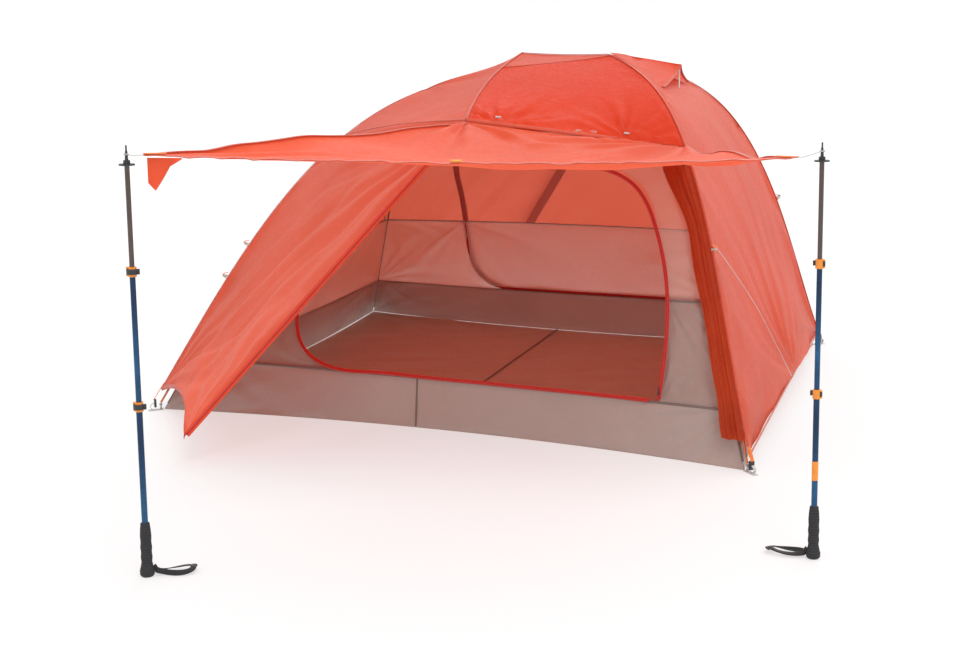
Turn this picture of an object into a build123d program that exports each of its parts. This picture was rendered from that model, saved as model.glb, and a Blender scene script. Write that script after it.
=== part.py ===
from build123d import *
import math
import os

# Family-size hubbed dome tent with its front vestibule door pitched as an awning on two
# upturned trekking poles.  Millimetres.  Origin: middle of the floor's underside, on the
# ground.  +X runs along the sleeping length to the steep head end, +Y away from the awning.

# ---------------------------------------------------------------- driving dimensions
FLOOR_HALF_X = 1208.0
FLOOR_HALF_Y = 1078.0
FLOOR_BOW_SIDE = 108.0      # how far the long edges are cut inwards at their middle
FLOOR_BOW_END = 60.0        # the same for the head and foot edges
TUB_HEIGHT = 200.0
CLOTH = 1.0                 # thickness of every fabric solid
SEAM_GAP = 1.2              # space left between neighbouring panels
POLE_R = 4.35               # tent frame tube, 8.7 mm outside
POLE_INSET = 16.0           # frame tube lies this far inside the fly
INNER_INSET = 54.0          # inner tent hangs this far inside the fly
BROW_DROP = Vector(30, 142, -58)       # from the fly's brow to the inner wall's
CORE = Vector(100, 0, 300)  # middle of the living space, which every inset is aimed at

FOOT_HUB = Vector(-450, 0, 1285)
HEAD_HUB = Vector(385, 0, 1450)
RIDGE_PEAK = Vector(0, 0, 1452)
BROW = Vector(104, -1000, 1226)        # near end of the cross pole, one end of the door fold
BROW_HEAD = Vector(865, -610, 1115)    # where the door fold meets the head leg
FOOT_LEG = [FOOT_HUB, Vector(-700, -330, 1100), Vector(-1000, -755, 610), Vector(-1222, -1068, 85)]
FOOT_SHOULDER = FOOT_LEG[1]
HEAD_LEG = [HEAD_HUB, Vector(600, -250, 1372), Vector(770, -490, 1245), Vector(975, -780, 880),
            Vector(1112, -962, 450), Vector(1226, -1096, 65)]
CROSS = [RIDGE_PEAK, Vector(-5, -250, 1398), Vector(35, -650, 1312), BROW]
ZIP_END = Vector(-720, -1720, 110)     # free corner of the near vestibule panel
AWNING_FOOT = Vector(-262, -2598, 1222)
AWNING_HEAD = Vector(1432, -1858, 1206)
AWNING_SAG = 72.0

DOOR_SILL = 206.0
DOOR_TOP = 1062.0
DOOR_FOOT_X = -680.0
DOOR_HEAD_X = 866.0
DOOR_CORNER_R = 185.0
WALL_TOP = 1120.0

POLE_FEET = {"left": Vector(-280, -2660, 0), "right": Vector(1540, -1860, 0.6)}
POLE_TOPS = {"left": Vector(-280, -2660, 1253), "right": Vector(1501, -1851, 1253)}

VESTIBULE_OUT = Vector(0.35, -0.8, 0.5)
STRUT_BASE = Vector(702, 0, 1312)
STRUT_TOP = Vector(702, 0, 1404)
ZIP_R = 4.0
VESTIBULE_TRAVEL = 1300.0
ZIP_LIFT = 16.0                        # the door zips stand this far outside the inner wall

PARTS = {}


# ---------------------------------------------------------------- small helpers
def mirrored(points):
    return [Vector(p.X, -p.Y, p.Z) for p in points]


def outset(p, distance):
    """The point moved away from the middle of the living space (negative: towards it)."""
    return p + (p - CORE).normalized() * distance


def along(points):
    """A smooth curve through the points, as a function of 0 to 1."""
    edge = Line(*points) if len(points) == 2 else Spline(*points)
    return lambda t: edge.position_at(min(max(t, 0.0), 1.0))


def part_of(curve, start, end):
    return lambda t: curve(start + (end - start) * t)


def at_height(curve, z):
    """The point of a falling curve at height z."""
    low, high = 0.0, 1.0
    for _ in range(30):
        middle = (low + high) / 2
        if curve(middle).Z > z:
            low = middle
        else:
            high = middle
    return curve(low)


def fraction_at(curve, target):
    """The fraction of a curve that lies nearest to a point."""
    steps = 400
    return min(range(steps + 1), key=lambda i: (curve(i / steps) - target).length) / steps


def sheet(grid, thickness=CLOTH):
    """A closed thin solid on a smooth surface through a grid of points."""
    return Solid.thicken(Face.make_surface_from_array_of_points(grid), thickness)


def coons(top, bottom, left, right, across=9, down=9, sag=0.0, u_range=(0, 1), v_range=(0, 1)):
    """Grid of a Coons patch; sag pulls its middle towards the living space."""
    grid = []
    for i in range(across):
        u = u_range[0] + (u_range[1] - u_range[0]) * i / (across - 1)
        row = []
        for j in range(down):
            span = [r(u) if callable(r) else r for r in v_range]
            v = span[0] + (span[1] - span[0]) * j / (down - 1)
            p = top(u) * (1 - v) + bottom(u) * v + left(v) * (1 - u) + right(v) * u
            p = p - (top(0) * (1 - u) + top(1) * u) * (1 - v) - (bottom(0) * (1 - u) + bottom(1) * u) * v
            row.append(outset(p, -sag * math.sin(math.pi * u) * math.sin(math.pi * v)))
        grid.append(row)
    return grid


def flipped(grid):
    return [mirrored(row) for row in grid]


def tube(points, radius, bore=0.0):
    """A round tube along straight runs joined by tangent arcs."""
    radii = []
    for before, corner, after in zip(points, points[1:], points[2:]):
        turn = math.radians((corner - before).get_angle(after - corner))
        radii.append(0.45 * min((corner - before).length, (after - corner).length) / math.tan(turn / 2))
    path = Line(*points) if len(points) == 2 else FilletPolyline(*points, radius=radii)
    start = Plane(origin=points[0], z_dir=points[1] - points[0])
    section = start * (Circle(radius) - Circle(bore)) if bore else start * Circle(radius)
    return sweep(section, path=path)


def rod(start, end, radius, bore=0.0):
    return tube([start, end], radius, bore)


def group(shapes):
    return Compound(children=list(shapes))


# ---------------------------------------------------------------- shared curves
fly_foot = along(FOOT_LEG)
fly_head = along(HEAD_LEG)
fly_cross = along(CROSS)
shoulder_t = fraction_at(fly_foot, FOOT_SHOULDER)
brow_t = fraction_at(fly_head, BROW_HEAD)

inner_foot = along([outset(p, -INNER_INSET) for p in FOOT_LEG[:3]]
                   + [Vector(-FLOOR_HALF_X, -FLOOR_HALF_Y, 2)])
inner_head = along([outset(p, -INNER_INSET) for p in HEAD_LEG[:5]]
                   + [Vector(FLOOR_HALF_X, -FLOOR_HALF_Y, 2)])


def side_wall(x, z):
    """A point of the near inner wall: a shallow curve through both legs and the brow."""
    foot, head = at_height(inner_foot, z), at_height(inner_head, z)
    brow = BROW + BROW_DROP
    share = z / brow.Z
    mid_x = brow.X * share
    mid_y = (-FLOOR_HALF_Y + FLOOR_BOW_SIDE) * (1 - share) + brow.Y * share
    y = (foot.Y * (x - mid_x) * (x - head.X) / ((foot.X - mid_x) * (foot.X - head.X))
         + mid_y * (x - foot.X) * (x - head.X) / ((mid_x - foot.X) * (mid_x - head.X))
         + head.Y * (x - foot.X) * (x - mid_x) / ((head.X - foot.X) * (head.X - mid_x)))
    return Vector(x, y, z)


def wall_grid(z_low, z_high, x_left, x_right, across=9, down=7):
    """Grid of a stretch of the near wall between two heights and two edge functions."""
    grid = []
    for i in range(across):
        row = []
        for j in range(down):
            z = z_low + (z_high - z_low) * j / (down - 1)
            x = x_left(z) + (x_right(z) - x_left(z)) * i / (across - 1)
            row.append(side_wall(x, z))
        grid.append(row)
    return grid


def corner_round(z):
    """How far the door's side edges draw in towards its rounded corners."""
    reach = max(DOOR_SILL + DOOR_CORNER_R - z, z - DOOR_TOP + DOOR_CORNER_R, 0.0)
    return DOOR_CORNER_R - math.sqrt(max(DOOR_CORNER_R ** 2 - reach ** 2, 0.0))


def door_left(z):
    return DOOR_FOOT_X + corner_round(z)


def door_right(z):
    lean = 0.28 * max(z - 600.0, 0.0)
    return DOOR_HEAD_X - lean - (corner_round(z) if z > 600 else 0.0)


def foot_edge(z):
    return at_height(inner_foot, z).X + SEAM_GAP * 2


def head_edge(z):
    return at_height(inner_head, z).X - SEAM_GAP * 2


# ---------------------------------------------------------------- inner tent
def inner_floor():
    corners = [Vector(sx * FLOOR_HALF_X, sy * FLOOR_HALF_Y)
               for sx, sy in ((-1, -1), (1, -1), (1, 1), (-1, 1))]
    middles = [Vector(0, -FLOOR_HALF_Y + FLOOR_BOW_SIDE), Vector(FLOOR_HALF_X - FLOOR_BOW_END, 0),
               Vector(0, FLOOR_HALF_Y - FLOOR_BOW_SIDE), Vector(-FLOOR_HALF_X + FLOOR_BOW_END, 0)]
    edges = [ThreePointArc(a, m, b) for a, m, b in zip(corners, middles, corners[1:] + corners[:1])]
    return extrude(make_face(edges), CLOTH)


def end_grid(curve, z_low, z_high, bow, rows=9, width=9):
    """Grid of an end wall between the near and far legs, bowed inwards at its foot."""
    grid = []
    for i in range(rows):
        p = at_height(curve, z_low + (z_high - z_low) * i / (rows - 1))
        inward = -math.copysign(bow * max(0.0, 1 - p.Z / 500), p.X)
        reach = -p.Y - SEAM_GAP
        grid.append([Vector(p.X + inward * math.cos(math.pi * w / 2), reach * w, p.Z)
                     for w in [2 * k / (width - 1) - 1 for k in range(width)]])
    return grid


def tub_walls():
    low, high = CLOTH + SEAM_GAP, TUB_HEIGHT
    near = wall_grid(low, high, foot_edge, head_edge, across=11, down=4)
    ends = [end_grid(curve, low, high, FLOOR_BOW_END, rows=4) for curve in (inner_foot, inner_head)]
    return group(sheet(g) for g in [near, flipped(near)] + ends)


def side_wall_panels():
    """The near wall around its open door: foot piece, head piece and the piece above."""
    sill, top = TUB_HEIGHT + SEAM_GAP, DOOR_TOP - 12
    foot = wall_grid(sill, top, foot_edge, lambda z: door_left(z) - 2, across=6, down=9)
    head = wall_grid(sill, top, lambda z: door_right(z) + 2, head_edge, across=6, down=9)
    above = wall_grid(DOOR_TOP + 2, WALL_TOP, foot_edge, head_edge, across=11, down=4)
    return foot, head, above


def wall_line(z):
    """Top edge of the near wall, foot to head."""
    return lambda u: side_wall(foot_edge(z) + (head_edge(z) - foot_edge(z)) * u, z)


def inner_roof():
    near_line = wall_line(WALL_TOP + SEAM_GAP)
    ridge = along([outset(FOOT_HUB, -INNER_INSET), Vector(-215, 0, 1290), Vector(0, 0, 1362),
                   outset(HEAD_HUB, -INNER_INSET)])
    grid = []
    for i in range(11):
        u = i / 10
        edge, top = near_line(u), ridge(u)
        row = []
        for k in range(11):
            w = k / 5 - 1
            rise = 1 - abs(w) ** 1.12
            row.append(Vector(edge.X + (top.X - edge.X) * rise, edge.Y * -w,
                              edge.Z + (top.Z - edge.Z) * rise))
        grid.append(row)
    return sheet(grid)


def end_wall(curve, top):
    return sheet(end_grid(curve, TUB_HEIGHT + SEAM_GAP, top, FLOOR_BOW_END, rows=11))


def door_panel():
    """The far door, zipped shut."""
    return sheet(flipped(wall_grid(DOOR_SILL + 10, DOOR_TOP - 12, lambda z: door_left(z) + 2,
                                   lambda z: door_right(z) - 2, across=9, down=11)))


def door_roll():
    """The near door, rolled up and tied back along the foot side of its opening."""
    heights = [330, 520, 720, 900]
    points = [side_wall(door_left(z) - 70, z) + Vector(0, 62, 0) for z in heights]
    return tube(points, 30)


DOOR_TRACK = [(DOOR_HEAD_X, 214), (DOOR_HEAD_X, 600), (800, 830), (700, 985), (520, 1056), (350, 1061),
              (180, 1064), (30, 1064), (-110, 1063), (-250, 1062), (-390, 1054), (-520, 1040),
              (-646, 930), (-680, 740), (-678, 450), (-630, 285), (-500, 214), (-300, 208),
              (-100, 206), (120, 206), (350, 206), (590, 206), (830, 206)]


def door_zip(side):
    """The coil zip round a door, from the head corner of the sill up, over and back."""
    track = [side_wall(x, z) + Vector(0, -ZIP_LIFT, 0) for x, z in DOOR_TRACK]
    return tube(track if side < 0 else mirrored(track), ZIP_R)


def corner_pocket():
    """Gear pocket on the head side of the near tub wall."""
    grid = wall_grid(40, 190, lambda z: 905.0, lambda z: 1085.0, across=5, down=4)
    return sheet([[p + Vector(0, 14, 0) for p in row] for row in grid])


# ---------------------------------------------------------------- fly
def roof_grid(v_range, u_range):
    ridge = along([RIDGE_PEAK, Vector(190, 0, 1446), HEAD_HUB])
    fold = along([BROW, BROW_HEAD])
    return coons(ridge, fold, fly_cross, part_of(fly_head, 0, brow_t), 11, 9,
                 v_range=v_range, u_range=u_range)


def seam_share(u):
    """How far down the front panel the roof's long side seam runs."""
    return 0.22 * (1 - u) + 0.03


def fly_roof():
    strip = roof_grid((0.004, lambda u: seam_share(u) - 0.003), (0.01, 0.97))
    return group(sheet(g) for g in (strip, flipped(strip)))


def fly_front():
    return roof_grid((seam_share, 0.985), (0.006, 0.99))


def fly_foot_roof():
    ridge = along([FOOT_HUB, Vector(-243, 0, 1356), Vector(-83, 0, 1408), RIDGE_PEAK])
    brow_line = along([FOOT_SHOULDER, Vector(-290, -690, 1180), BROW])
    grid = coons(ridge, brow_line, part_of(fly_foot, 0, shoulder_t), fly_cross,
                 sag=14, u_range=(0.004, 0.992), v_range=(0.004, 0.995))
    return group(sheet(g) for g in (grid, flipped(grid)))


def vestibule_panel():
    brow_line = along([FOOT_SHOULDER, Vector(-290, -690, 1180), BROW])
    hem = along([FOOT_LEG[-1], Vector(-940, -1370, 165), ZIP_END])
    return coons(brow_line, hem, part_of(fly_foot, shoulder_t, 1), along([BROW, ZIP_END]),
                 sag=22, u_range=(0.004, 0.995), v_range=(0.006, 1))


def fly_end(curve, hem_rise, sag):
    """An end panel of the fly between the near and far legs, with a cut-up hem."""
    start = 0.05
    near, far = part_of(curve, start, 1), part_of(lambda t: mirrored([curve(t)])[0], start, 1)
    low = curve(1)
    top = along([near(0), far(0)])
    hem = along([near(1), Vector(low.X + math.copysign(18, low.X), 0, low.Z + hem_rise), far(1)])
    return sheet(coons(top, hem, near, far, 9, 11, sag=sag, u_range=(0.003, 0.997)))


def head_gather():
    """The door's head-side edge strip, gathered along the head leg below the fold."""
    section = []
    outer = part_of(fly_head, brow_t + 0.09, 0.975)
    for i in range(11):
        t = i / 10
        p = outer(t) + Vector(-6, 2, 0)
        width = 56 + 23 * math.sin(math.pi * t * 0.8)
        section.append([p, p + Vector(-width * 0.5, -4, 0), p + Vector(-width, 8, 0)])
    return sheet(section, 5.0)


DOOR_HINGE = [BROW + Vector(6, -9, -8), BROW_HEAD + Vector(-12, -10, -8)]


def rear_door():
    """The far vestibule door, zipped shut: brow fold to hem, zip line to head leg."""
    low_head = HEAD_LEG[-1] + Vector(-2, -8, 0)
    hem = along([ZIP_END + Vector(16, 0, 0), Vector(280, -1470, 140), low_head])
    leg_side = along([DOOR_HINGE[1], outset(fly_head((brow_t + 1) / 2), 14), low_head])
    return flipped(coons(along(DOOR_HINGE), hem, along([DOOR_HINGE[0], ZIP_END + Vector(16, 0, 0)]),
                         leg_side, 11, 9, sag=-12, u_range=(0.014, 0.982), v_range=(0, 1)))


def awning():
    fold = along(DOOR_HINGE)
    lead = along([AWNING_FOOT, (AWNING_FOOT + AWNING_HEAD) * 0.5 + Vector(-30, 78, -6), AWNING_HEAD])
    grid = coons(fold, lead, along([DOOR_HINGE[0], AWNING_FOOT]), along([DOOR_HINGE[1], AWNING_HEAD]),
                 13, 11)
    for i, row in enumerate(grid):
        u = i / (len(grid) - 1)
        for j, p in enumerate(row):
            v = j / (len(row) - 1)
            sink = math.sin(math.pi * u) ** 0.8 * math.sin(math.pi * min(v * 0.9, 1))
            row[j] = p - Vector(0, 0, AWNING_SAG * sink)
    return sheet(grid)


def awning_flap():
    """The small reinforced corner of the door that hangs from the awning's foot corner."""
    lead = (AWNING_HEAD - AWNING_FOOT).normalized()
    start = AWNING_FOOT + lead * 6 - Vector(0, 0, 8)
    outline = [start, start + lead * 96, start + lead * 62 - Vector(0, 0, 22),
               start + lead * 40 - Vector(0, 0, 62), start + lead * 24 - Vector(0, 0, 92),
               start + lead * 20 - Vector(0, 0, 72)]
    normal = lead.cross(Vector(0, 0, 1)).normalized()
    return extrude(make_face(Polyline(*outline, close=True)), CLOTH, dir=normal)


def vent_hood():
    """Propped hood over the head-end vent, open towards the head: two flat halves from hub to brim."""
    hub, tip, corner = Vector(402, 0, 1473), Vector(705, 0, 1417), Vector(690, -262, 1336)
    normal = (tip - hub).cross(corner - hub).normalized()
    half = extrude(make_face(Polyline(hub, tip, corner, close=True)), CLOTH,
                   dir=normal if normal.Z > 0 else normal * -1)
    return group([half, mirror(half, Plane.XZ)])


# ---------------------------------------------------------------- zips and sliders
def vestibule_zip(side):
    """Straight tape along the free edge of a vestibule panel."""
    run = (ZIP_END - BROW).normalized()
    out = (VESTIBULE_OUT - run * VESTIBULE_OUT.dot(run)).normalized()
    across_dir = run.cross(out).normalized() * 7
    start, end = BROW + run * 60, ZIP_END - run * 12
    grid = [[start + (end - start) * k / 3 + out * 5 + across_dir * s for s in (-1, 1)] for k in range(4)]
    return sheet(grid if side < 0 else flipped(grid), 2.0)


def zip_slider(origin, run, out):
    """Zip slider: body block, bridge and pull tab, lying along the run of its zip."""
    place = Plane(origin=origin + out * (ZIP_R + 0.6), x_dir=run, z_dir=out)
    block = Pos(0, 0, 3) * Box(14, 9, 5)
    bridge = Pos(0, 0, 7) * Box(9, 3, 3)
    tab = Pos(16, 0, 7.5) * (Box(26, 6, 2) - Pos(7, 0, 0) * Cylinder(1.8, 2))
    return place * (fillet(block.edges().filter_by(Axis.Z), 2) + bridge + tab)


def wall_track():
    """Start, direction and outward normal of the straight head-side run of the near door zip."""
    low, high = [side_wall(x, z) + Vector(0, -ZIP_LIFT, 0) for x, z in DOOR_TRACK[:2]]
    run = (high - low).normalized()
    out = run.cross(Vector(1, 0, 0)).normalized()
    return low + run * 22, run, out if out.Y < 0 else out * -1


def vestibule_track():
    """The same for the near vestibule zip, running down from the brow."""
    run = (ZIP_END - BROW).normalized()
    out = (VESTIBULE_OUT - run * VESTIBULE_OUT.dot(run)).normalized()
    return BROW + run * 96 + out * 6, run, out


def vent_strut():
    """Folding prop that holds the vent hood open."""
    length = STRUT_TOP.Z - STRUT_BASE.Z
    bar = Pos(0, 0, length / 2) * Box(2.5, 16, length)
    eye = Rot(90, 0, 0) * Cylinder(2.6, 20)
    return Pos(*STRUT_BASE) * (bar + eye)


# ---------------------------------------------------------------- frame
def pole_points(points):
    return [outset(p, -POLE_INSET) for p in points]


def leg_points(points, tip):
    inner = pole_points(points[:-1])
    return inner + [tip]


FOOT_TIP = Vector(-FLOOR_HALF_X - 10, -FLOOR_HALF_Y - 9, 30)
HEAD_TIP = Vector(FLOOR_HALF_X + 10, -FLOOR_HALF_Y - 9, 30)
FOOT_POLE = leg_points(FOOT_LEG, FOOT_TIP)
HEAD_POLE = leg_points(HEAD_LEG, HEAD_TIP)
HUB_SOCKET = 34.0
POLE_START = 14.0


def started(points, distance):
    """The route with its first point moved along the first run."""
    first = points[0] + (points[1] - points[0]).normalized() * distance
    return [first] + points[1:]


def ridge_points():
    foot, head = FOOT_POLE[0], HEAD_POLE[0]
    return [foot, Vector(-190, 0, 1356), Vector(60, 0, 1420), head]


def ridge_pole():
    points = started(ridge_points(), POLE_START)
    return tube(started(points[::-1], POLE_START), POLE_R)


def cross_pole():
    near = [outset(p, -POLE_INSET) for p in CROSS]
    crown = [Vector(0, -60, 1424), Vector(0, 60, 1424)]
    return tube(near[:0:-1] + crown + mirrored(near[1:]), POLE_R)


def leg_poles(points):
    start = started(points, POLE_START)
    return [tube(start, POLE_R), tube(mirrored(start), POLE_R)]


def hub(points, ridge_next):
    """Moulded hub with one socket for the ridge pole and one for each leg."""
    centre = points[0]
    arms = [points[1], mirrored([points[1]])[0], ridge_next]
    body = Pos(*centre) * Sphere(13)
    for target in arms:
        run = (target - centre).normalized()
        body = body + rod(centre, centre + run * HUB_SOCKET, 7.5)
    for target in arms:
        run = (target - centre).normalized()
        body = body - rod(centre + run * (POLE_START - 1), centre + run * (HUB_SOCKET + 2), POLE_R + 0.06)
    return body


def cross_saddle():
    """Clip that holds the cross pole on the ridge pole where they cross."""
    saddle = Pos(0, 0, 1413.5) * (Box(22, 16, 9) - Pos(0, 0, 10) * (Rot(90, 0, 0) * Cylinder(6.5, 30)))
    low, high = ridge_points()[1:3]
    return saddle - rod(low, high, POLE_R + 0.4)


def pole_tips():
    """Ball tips pressed on the four leg ends, standing in the corner grommets."""
    tips = []
    for tip in (FOOT_TIP, HEAD_TIP):
        for y_sign in (-1, 1):
            base = Vector(tip.X, tip.Y * -y_sign, 0)
            shape = Pos(*base) * (Pos(0, 0, 5.5) * Sphere(5) + Pos(0, 0, 13) * Cylinder(3, 14)
                                  + Pos(0, 0, 23) * Cylinder(5.5, 8))
            tips.append(shape)
    return group(tips)


def pole_clips():
    """Hooks that hang the inner tent from the frame tubes."""
    clips = []
    for points in (FOOT_POLE, HEAD_POLE):
        for a, b in zip(points[1:-2], points[2:-1]):
            middle, run = (a + b) * 0.5, (b - a).normalized()
            ring = rod(middle - run * 4, middle + run * 4, POLE_R + 2.4, POLE_R + 0.5)
            inward = (CORE - middle).normalized()
            hook = rod(middle + inward * (POLE_R + 1.2), middle + inward * 8, 1.6)
            clip = ring + hook
            clips += [clip, mirror(clip, Plane.XZ)]
    return group(clips + [cross_saddle()])


# ---------------------------------------------------------------- corner webbing and guys
CORNER_SETS = [(-1, -1), (1, -1), (1, 1), (-1, 1)]


def corner_straps():
    """Webbing from each floor corner to its stake loop, with the pole-tip grommet."""
    straps = []
    for sx, sy in CORNER_SETS:
        corner = Vector(sx * (FLOOR_HALF_X + 2), sy * (FLOOR_HALF_Y + 2), 0)
        out = Vector(sx * 0.74, sy * 0.67, 0)
        side = Vector(-out.Y, out.X, 0) * 10
        tongue = Polyline(corner - side, corner + side, corner + out * 64 + side,
                          corner + out * 64 - side, close=True)
        strap = extrude(make_face(tongue), 2.0)
        hole = Pos(*(corner + out * 10)) * Cylinder(5.2, 12)
        loop = Plane(origin=corner + out * 48, x_dir=out, z_dir=Vector(0, 0, 1)) * Box(12, 9, 12)
        straps.append(strap - loop - hole)
    return group(straps)


def corner_buckles():
    """Side-release buckles that tension the fly at the four corners."""
    buckles = []
    for sx, sy in CORNER_SETS:
        out = Vector(sx * 0.74, sy * 0.67, 0)
        centre = Vector(sx * (FLOOR_HALF_X + 27), sy * (FLOOR_HALF_Y + 25), 30)
        place = Plane(origin=centre, x_dir=(out * 0.35 + Vector(0, 0, -1)).normalized(), z_dir=out)
        body = fillet(Box(34, 22, 7).edges().filter_by(Axis.Z), 3)
        slots = [Pos(dx, 0, 0) * Box(3, 15, 9) for dx in (-12, 12)]
        buckles.append(place * (body - slots[0] - slots[1]))
    return group(buckles)


def tie_outs():
    """Guy tabs sewn to the fly: two on each foot leg seam and one on each head leg seam."""
    tabs = []
    for curve, shares in ((fly_foot, (0.61, 0.70)), (fly_head, (0.63,))):
        for share in shares:
            p = outset(curve(share), 14)
            out = (p - CORE).normalized()
            tab = Plane(origin=p, z_dir=out) * (Box(14, 9, 22) - Pos(0, 0, 6) * Box(8, 12, 6))
            tabs += [tab, mirror(tab, Plane.XZ)]
    fold = (BROW_HEAD - BROW).normalized()
    for share in (0.14, 0.72):
        p = BROW + (BROW_HEAD - BROW) * share + Vector(-2, 12, 25)
        toggle = rod(p - fold * 10, p + fold * 10, 4.0)
        tabs += [toggle, mirror(toggle, Plane.XZ)]
    return group(tabs)


GUY_START = outset(fly_head(0.63), 24)
GUY_END = Vector(1258, -330, 176)


def head_guyline():
    """Tensioned guyline from the head leg tab to the middle of the head-end hem."""
    points = [GUY_START + Vector(8, 6, -6), (GUY_START * 2 + GUY_END) * (1 / 3) + Vector(34, 0, 0),
              (GUY_START + GUY_END * 2) * (1 / 3) + Vector(30, 0, -6), GUY_END + Vector(14, 0, 4)]
    return tube(points, 1.25)


def awning_toggle():
    """Toggle on the awning's lead edge, where the rolled door would be tied."""
    lead = (AWNING_HEAD - AWNING_FOOT).normalized()
    p = AWNING_FOOT + (AWNING_HEAD - AWNING_FOOT) * 0.47 + Vector(-28, 66, -20)
    return rod(p - lead * 16, p + lead * 16, 4.5)


# ---------------------------------------------------------------- trekking poles
UPPER_R, MIDDLE_R, LOWER_R = 9.0, 8.0, 7.0
TUBE_WALL = 0.7
SLIDE_GAP = 0.3
GRIP_LENGTH = 165.0
LOW_LOCK = 515.0            # height of the lock between the upper and middle shafts
HIGH_LOCK = 905.0           # height of the lock between the middle and lower shafts
BASKET_HEIGHT = 1200.0
LOCK_HALF = 17.0
LEVER_PIN = Vector(13.5, 0, 0)
LEVER_EYE_R = 3.4
STRAP_LENGTH = 112.0
STRAP_WIDTH = 46.0
TIE_HEIGHT = 1226.0
LEVER_TURN = {"left": 200.0, "right": -20.0}


def hollow(radius, bore, low, high):
    return Pos(0, 0, (low + high) / 2) * (Cylinder(radius, high - low) - Cylinder(bore, high - low))


def grip():
    """Foam grip, standing upside down on its rounded head."""
    profile = [(0, 0), (17, 0), (21, 5), (21.5, 16), (18, 30), (15.5, 44), (17, 58), (15.5, 72),
               (17, 88), (15.5, 104), (16.5, 122), (15, 146), (13, 162), (UPPER_R + 0.5, GRIP_LENGTH)]
    outline = Polyline(*[(r, z) for r, z in profile], (0, GRIP_LENGTH), close=True)
    body = revolve(Plane.XZ * make_face(outline), Axis.Z)
    return body - Pos(0, 0, 20 + GRIP_LENGTH / 2) * Cylinder(UPPER_R + 0.05, GRIP_LENGTH)


def lock_clamp(height, body_r, slide_r):
    """Collar fixed on the larger tube's mouth, with the lever's pin beside it."""
    collar = hollow(12.2, body_r + 0.05, height - LOCK_HALF, height)
    mouth = hollow(12.2, slide_r + SLIDE_GAP, height, height + LOCK_HALF - 6)
    eye_room = Pos(*LEVER_PIN) * Pos(0, 0, height - 2.5) * Cylinder(LEVER_EYE_R + 0.35, 15.8)
    ears = [Pos(*LEVER_PIN) * Pos(0, 0, height + dz) * Cylinder(3.6, 5) for dz in (-13, 8)]
    bore = Pos(0, 0, height) * Cylinder(slide_r + SLIDE_GAP, 60)
    socket = Pos(0, 0, height - 30) * Cylinder(body_r + 0.05, 60)
    pin = Pos(*LEVER_PIN) * Pos(0, 0, height - 2.5) * Cylinder(1.5, 26)
    ears_clear = (ears[0] + ears[1]) - bore - socket
    return (collar + mouth - eye_room) + ears_clear + (pin - bore - socket)


def lock_lever(height):
    """Cam lever: a curved arm round the collar, turning on the clamp's pin."""
    z_mid, tall = height - 2.5, 15.0
    arm = Cylinder(16.4, tall) - Cylinder(13.2, tall)
    keep = Pos(0, 15, 0) * Box(60, 30, tall)
    trim = Pos(14, -4, 0) * Box(14, 8, tall)
    eye = Pos(*LEVER_PIN) * Cylinder(LEVER_EYE_R, tall)
    lever = (arm & keep) - trim + eye
    lever = lever - Pos(*LEVER_PIN) * Cylinder(1.56, tall * 2)
    thumb = Pos(-18, 3, 0) * Box(6, 9, tall)
    return Pos(0, 0, z_mid) * (lever + thumb)


def basket():
    cup = hollow(22, LOWER_R - 1.5, BASKET_HEIGHT - 2, BASKET_HEIGHT + 2)
    holes = [Rot(0, 0, a) * Pos(15, 0, BASKET_HEIGHT) * Cylinder(3.2, 8) for a in range(30, 390, 60)]
    collar = hollow(9.5, LOWER_R - 1.5, BASKET_HEIGHT, BASKET_HEIGHT + 12)
    shape = cup + collar
    for hole in holes:
        shape = shape - hole
    return shape


def pole_tip():
    body = Pos(0, 0, BASKET_HEIGHT - 10) * Cylinder(5.4, 32)
    cone = Pos(0, 0, BASKET_HEIGHT + 22) * Cone(5.4, 3.2, 32)
    point = Pos(0, 0, BASKET_HEIGHT + 45.5) * Cylinder(2.4, 15)
    return body + cone + point


STRAP_TURN = {"left": 32.0, "right": 176.0}


def strap_loop(side):
    """Wrist strap lying on its edge beside the grip as a flattened loop."""
    ring = SlotOverall(STRAP_LENGTH, STRAP_WIDTH) - SlotOverall(STRAP_LENGTH - 5, STRAP_WIDTH - 5)
    reach = Pos(STRAP_LENGTH / 2 + 23, 0, 0)
    foot = POLE_FEET[side]
    return Pos(foot.X, foot.Y, 0) * Rot(0, 0, STRAP_TURN[side]) * reach * extrude(ring, 18)


def pole_place(side):
    foot, top = POLE_FEET[side], POLE_TOPS[side]
    return Plane(origin=foot, x_dir=Vector(1, 0, 0), z_dir=(top - foot).normalized())


def awning_tie(side):
    """Taut cord from the pole tip to the awning's corner."""
    corner = AWNING_FOOT if side == "left" else AWNING_HEAD
    axis = (POLE_TOPS[side] - POLE_FEET[side]).normalized()
    top = POLE_FEET[side] + axis * TIE_HEIGHT
    run = Vector(corner.X - top.X, corner.Y - top.Y, 0).normalized()
    start, end = top + run * 6.2, corner - run * 6 + Vector(0, 0, 1)
    return tube([start, (start + end) * 0.5 - Vector(0, 0, 3), end], 1.2)


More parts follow.
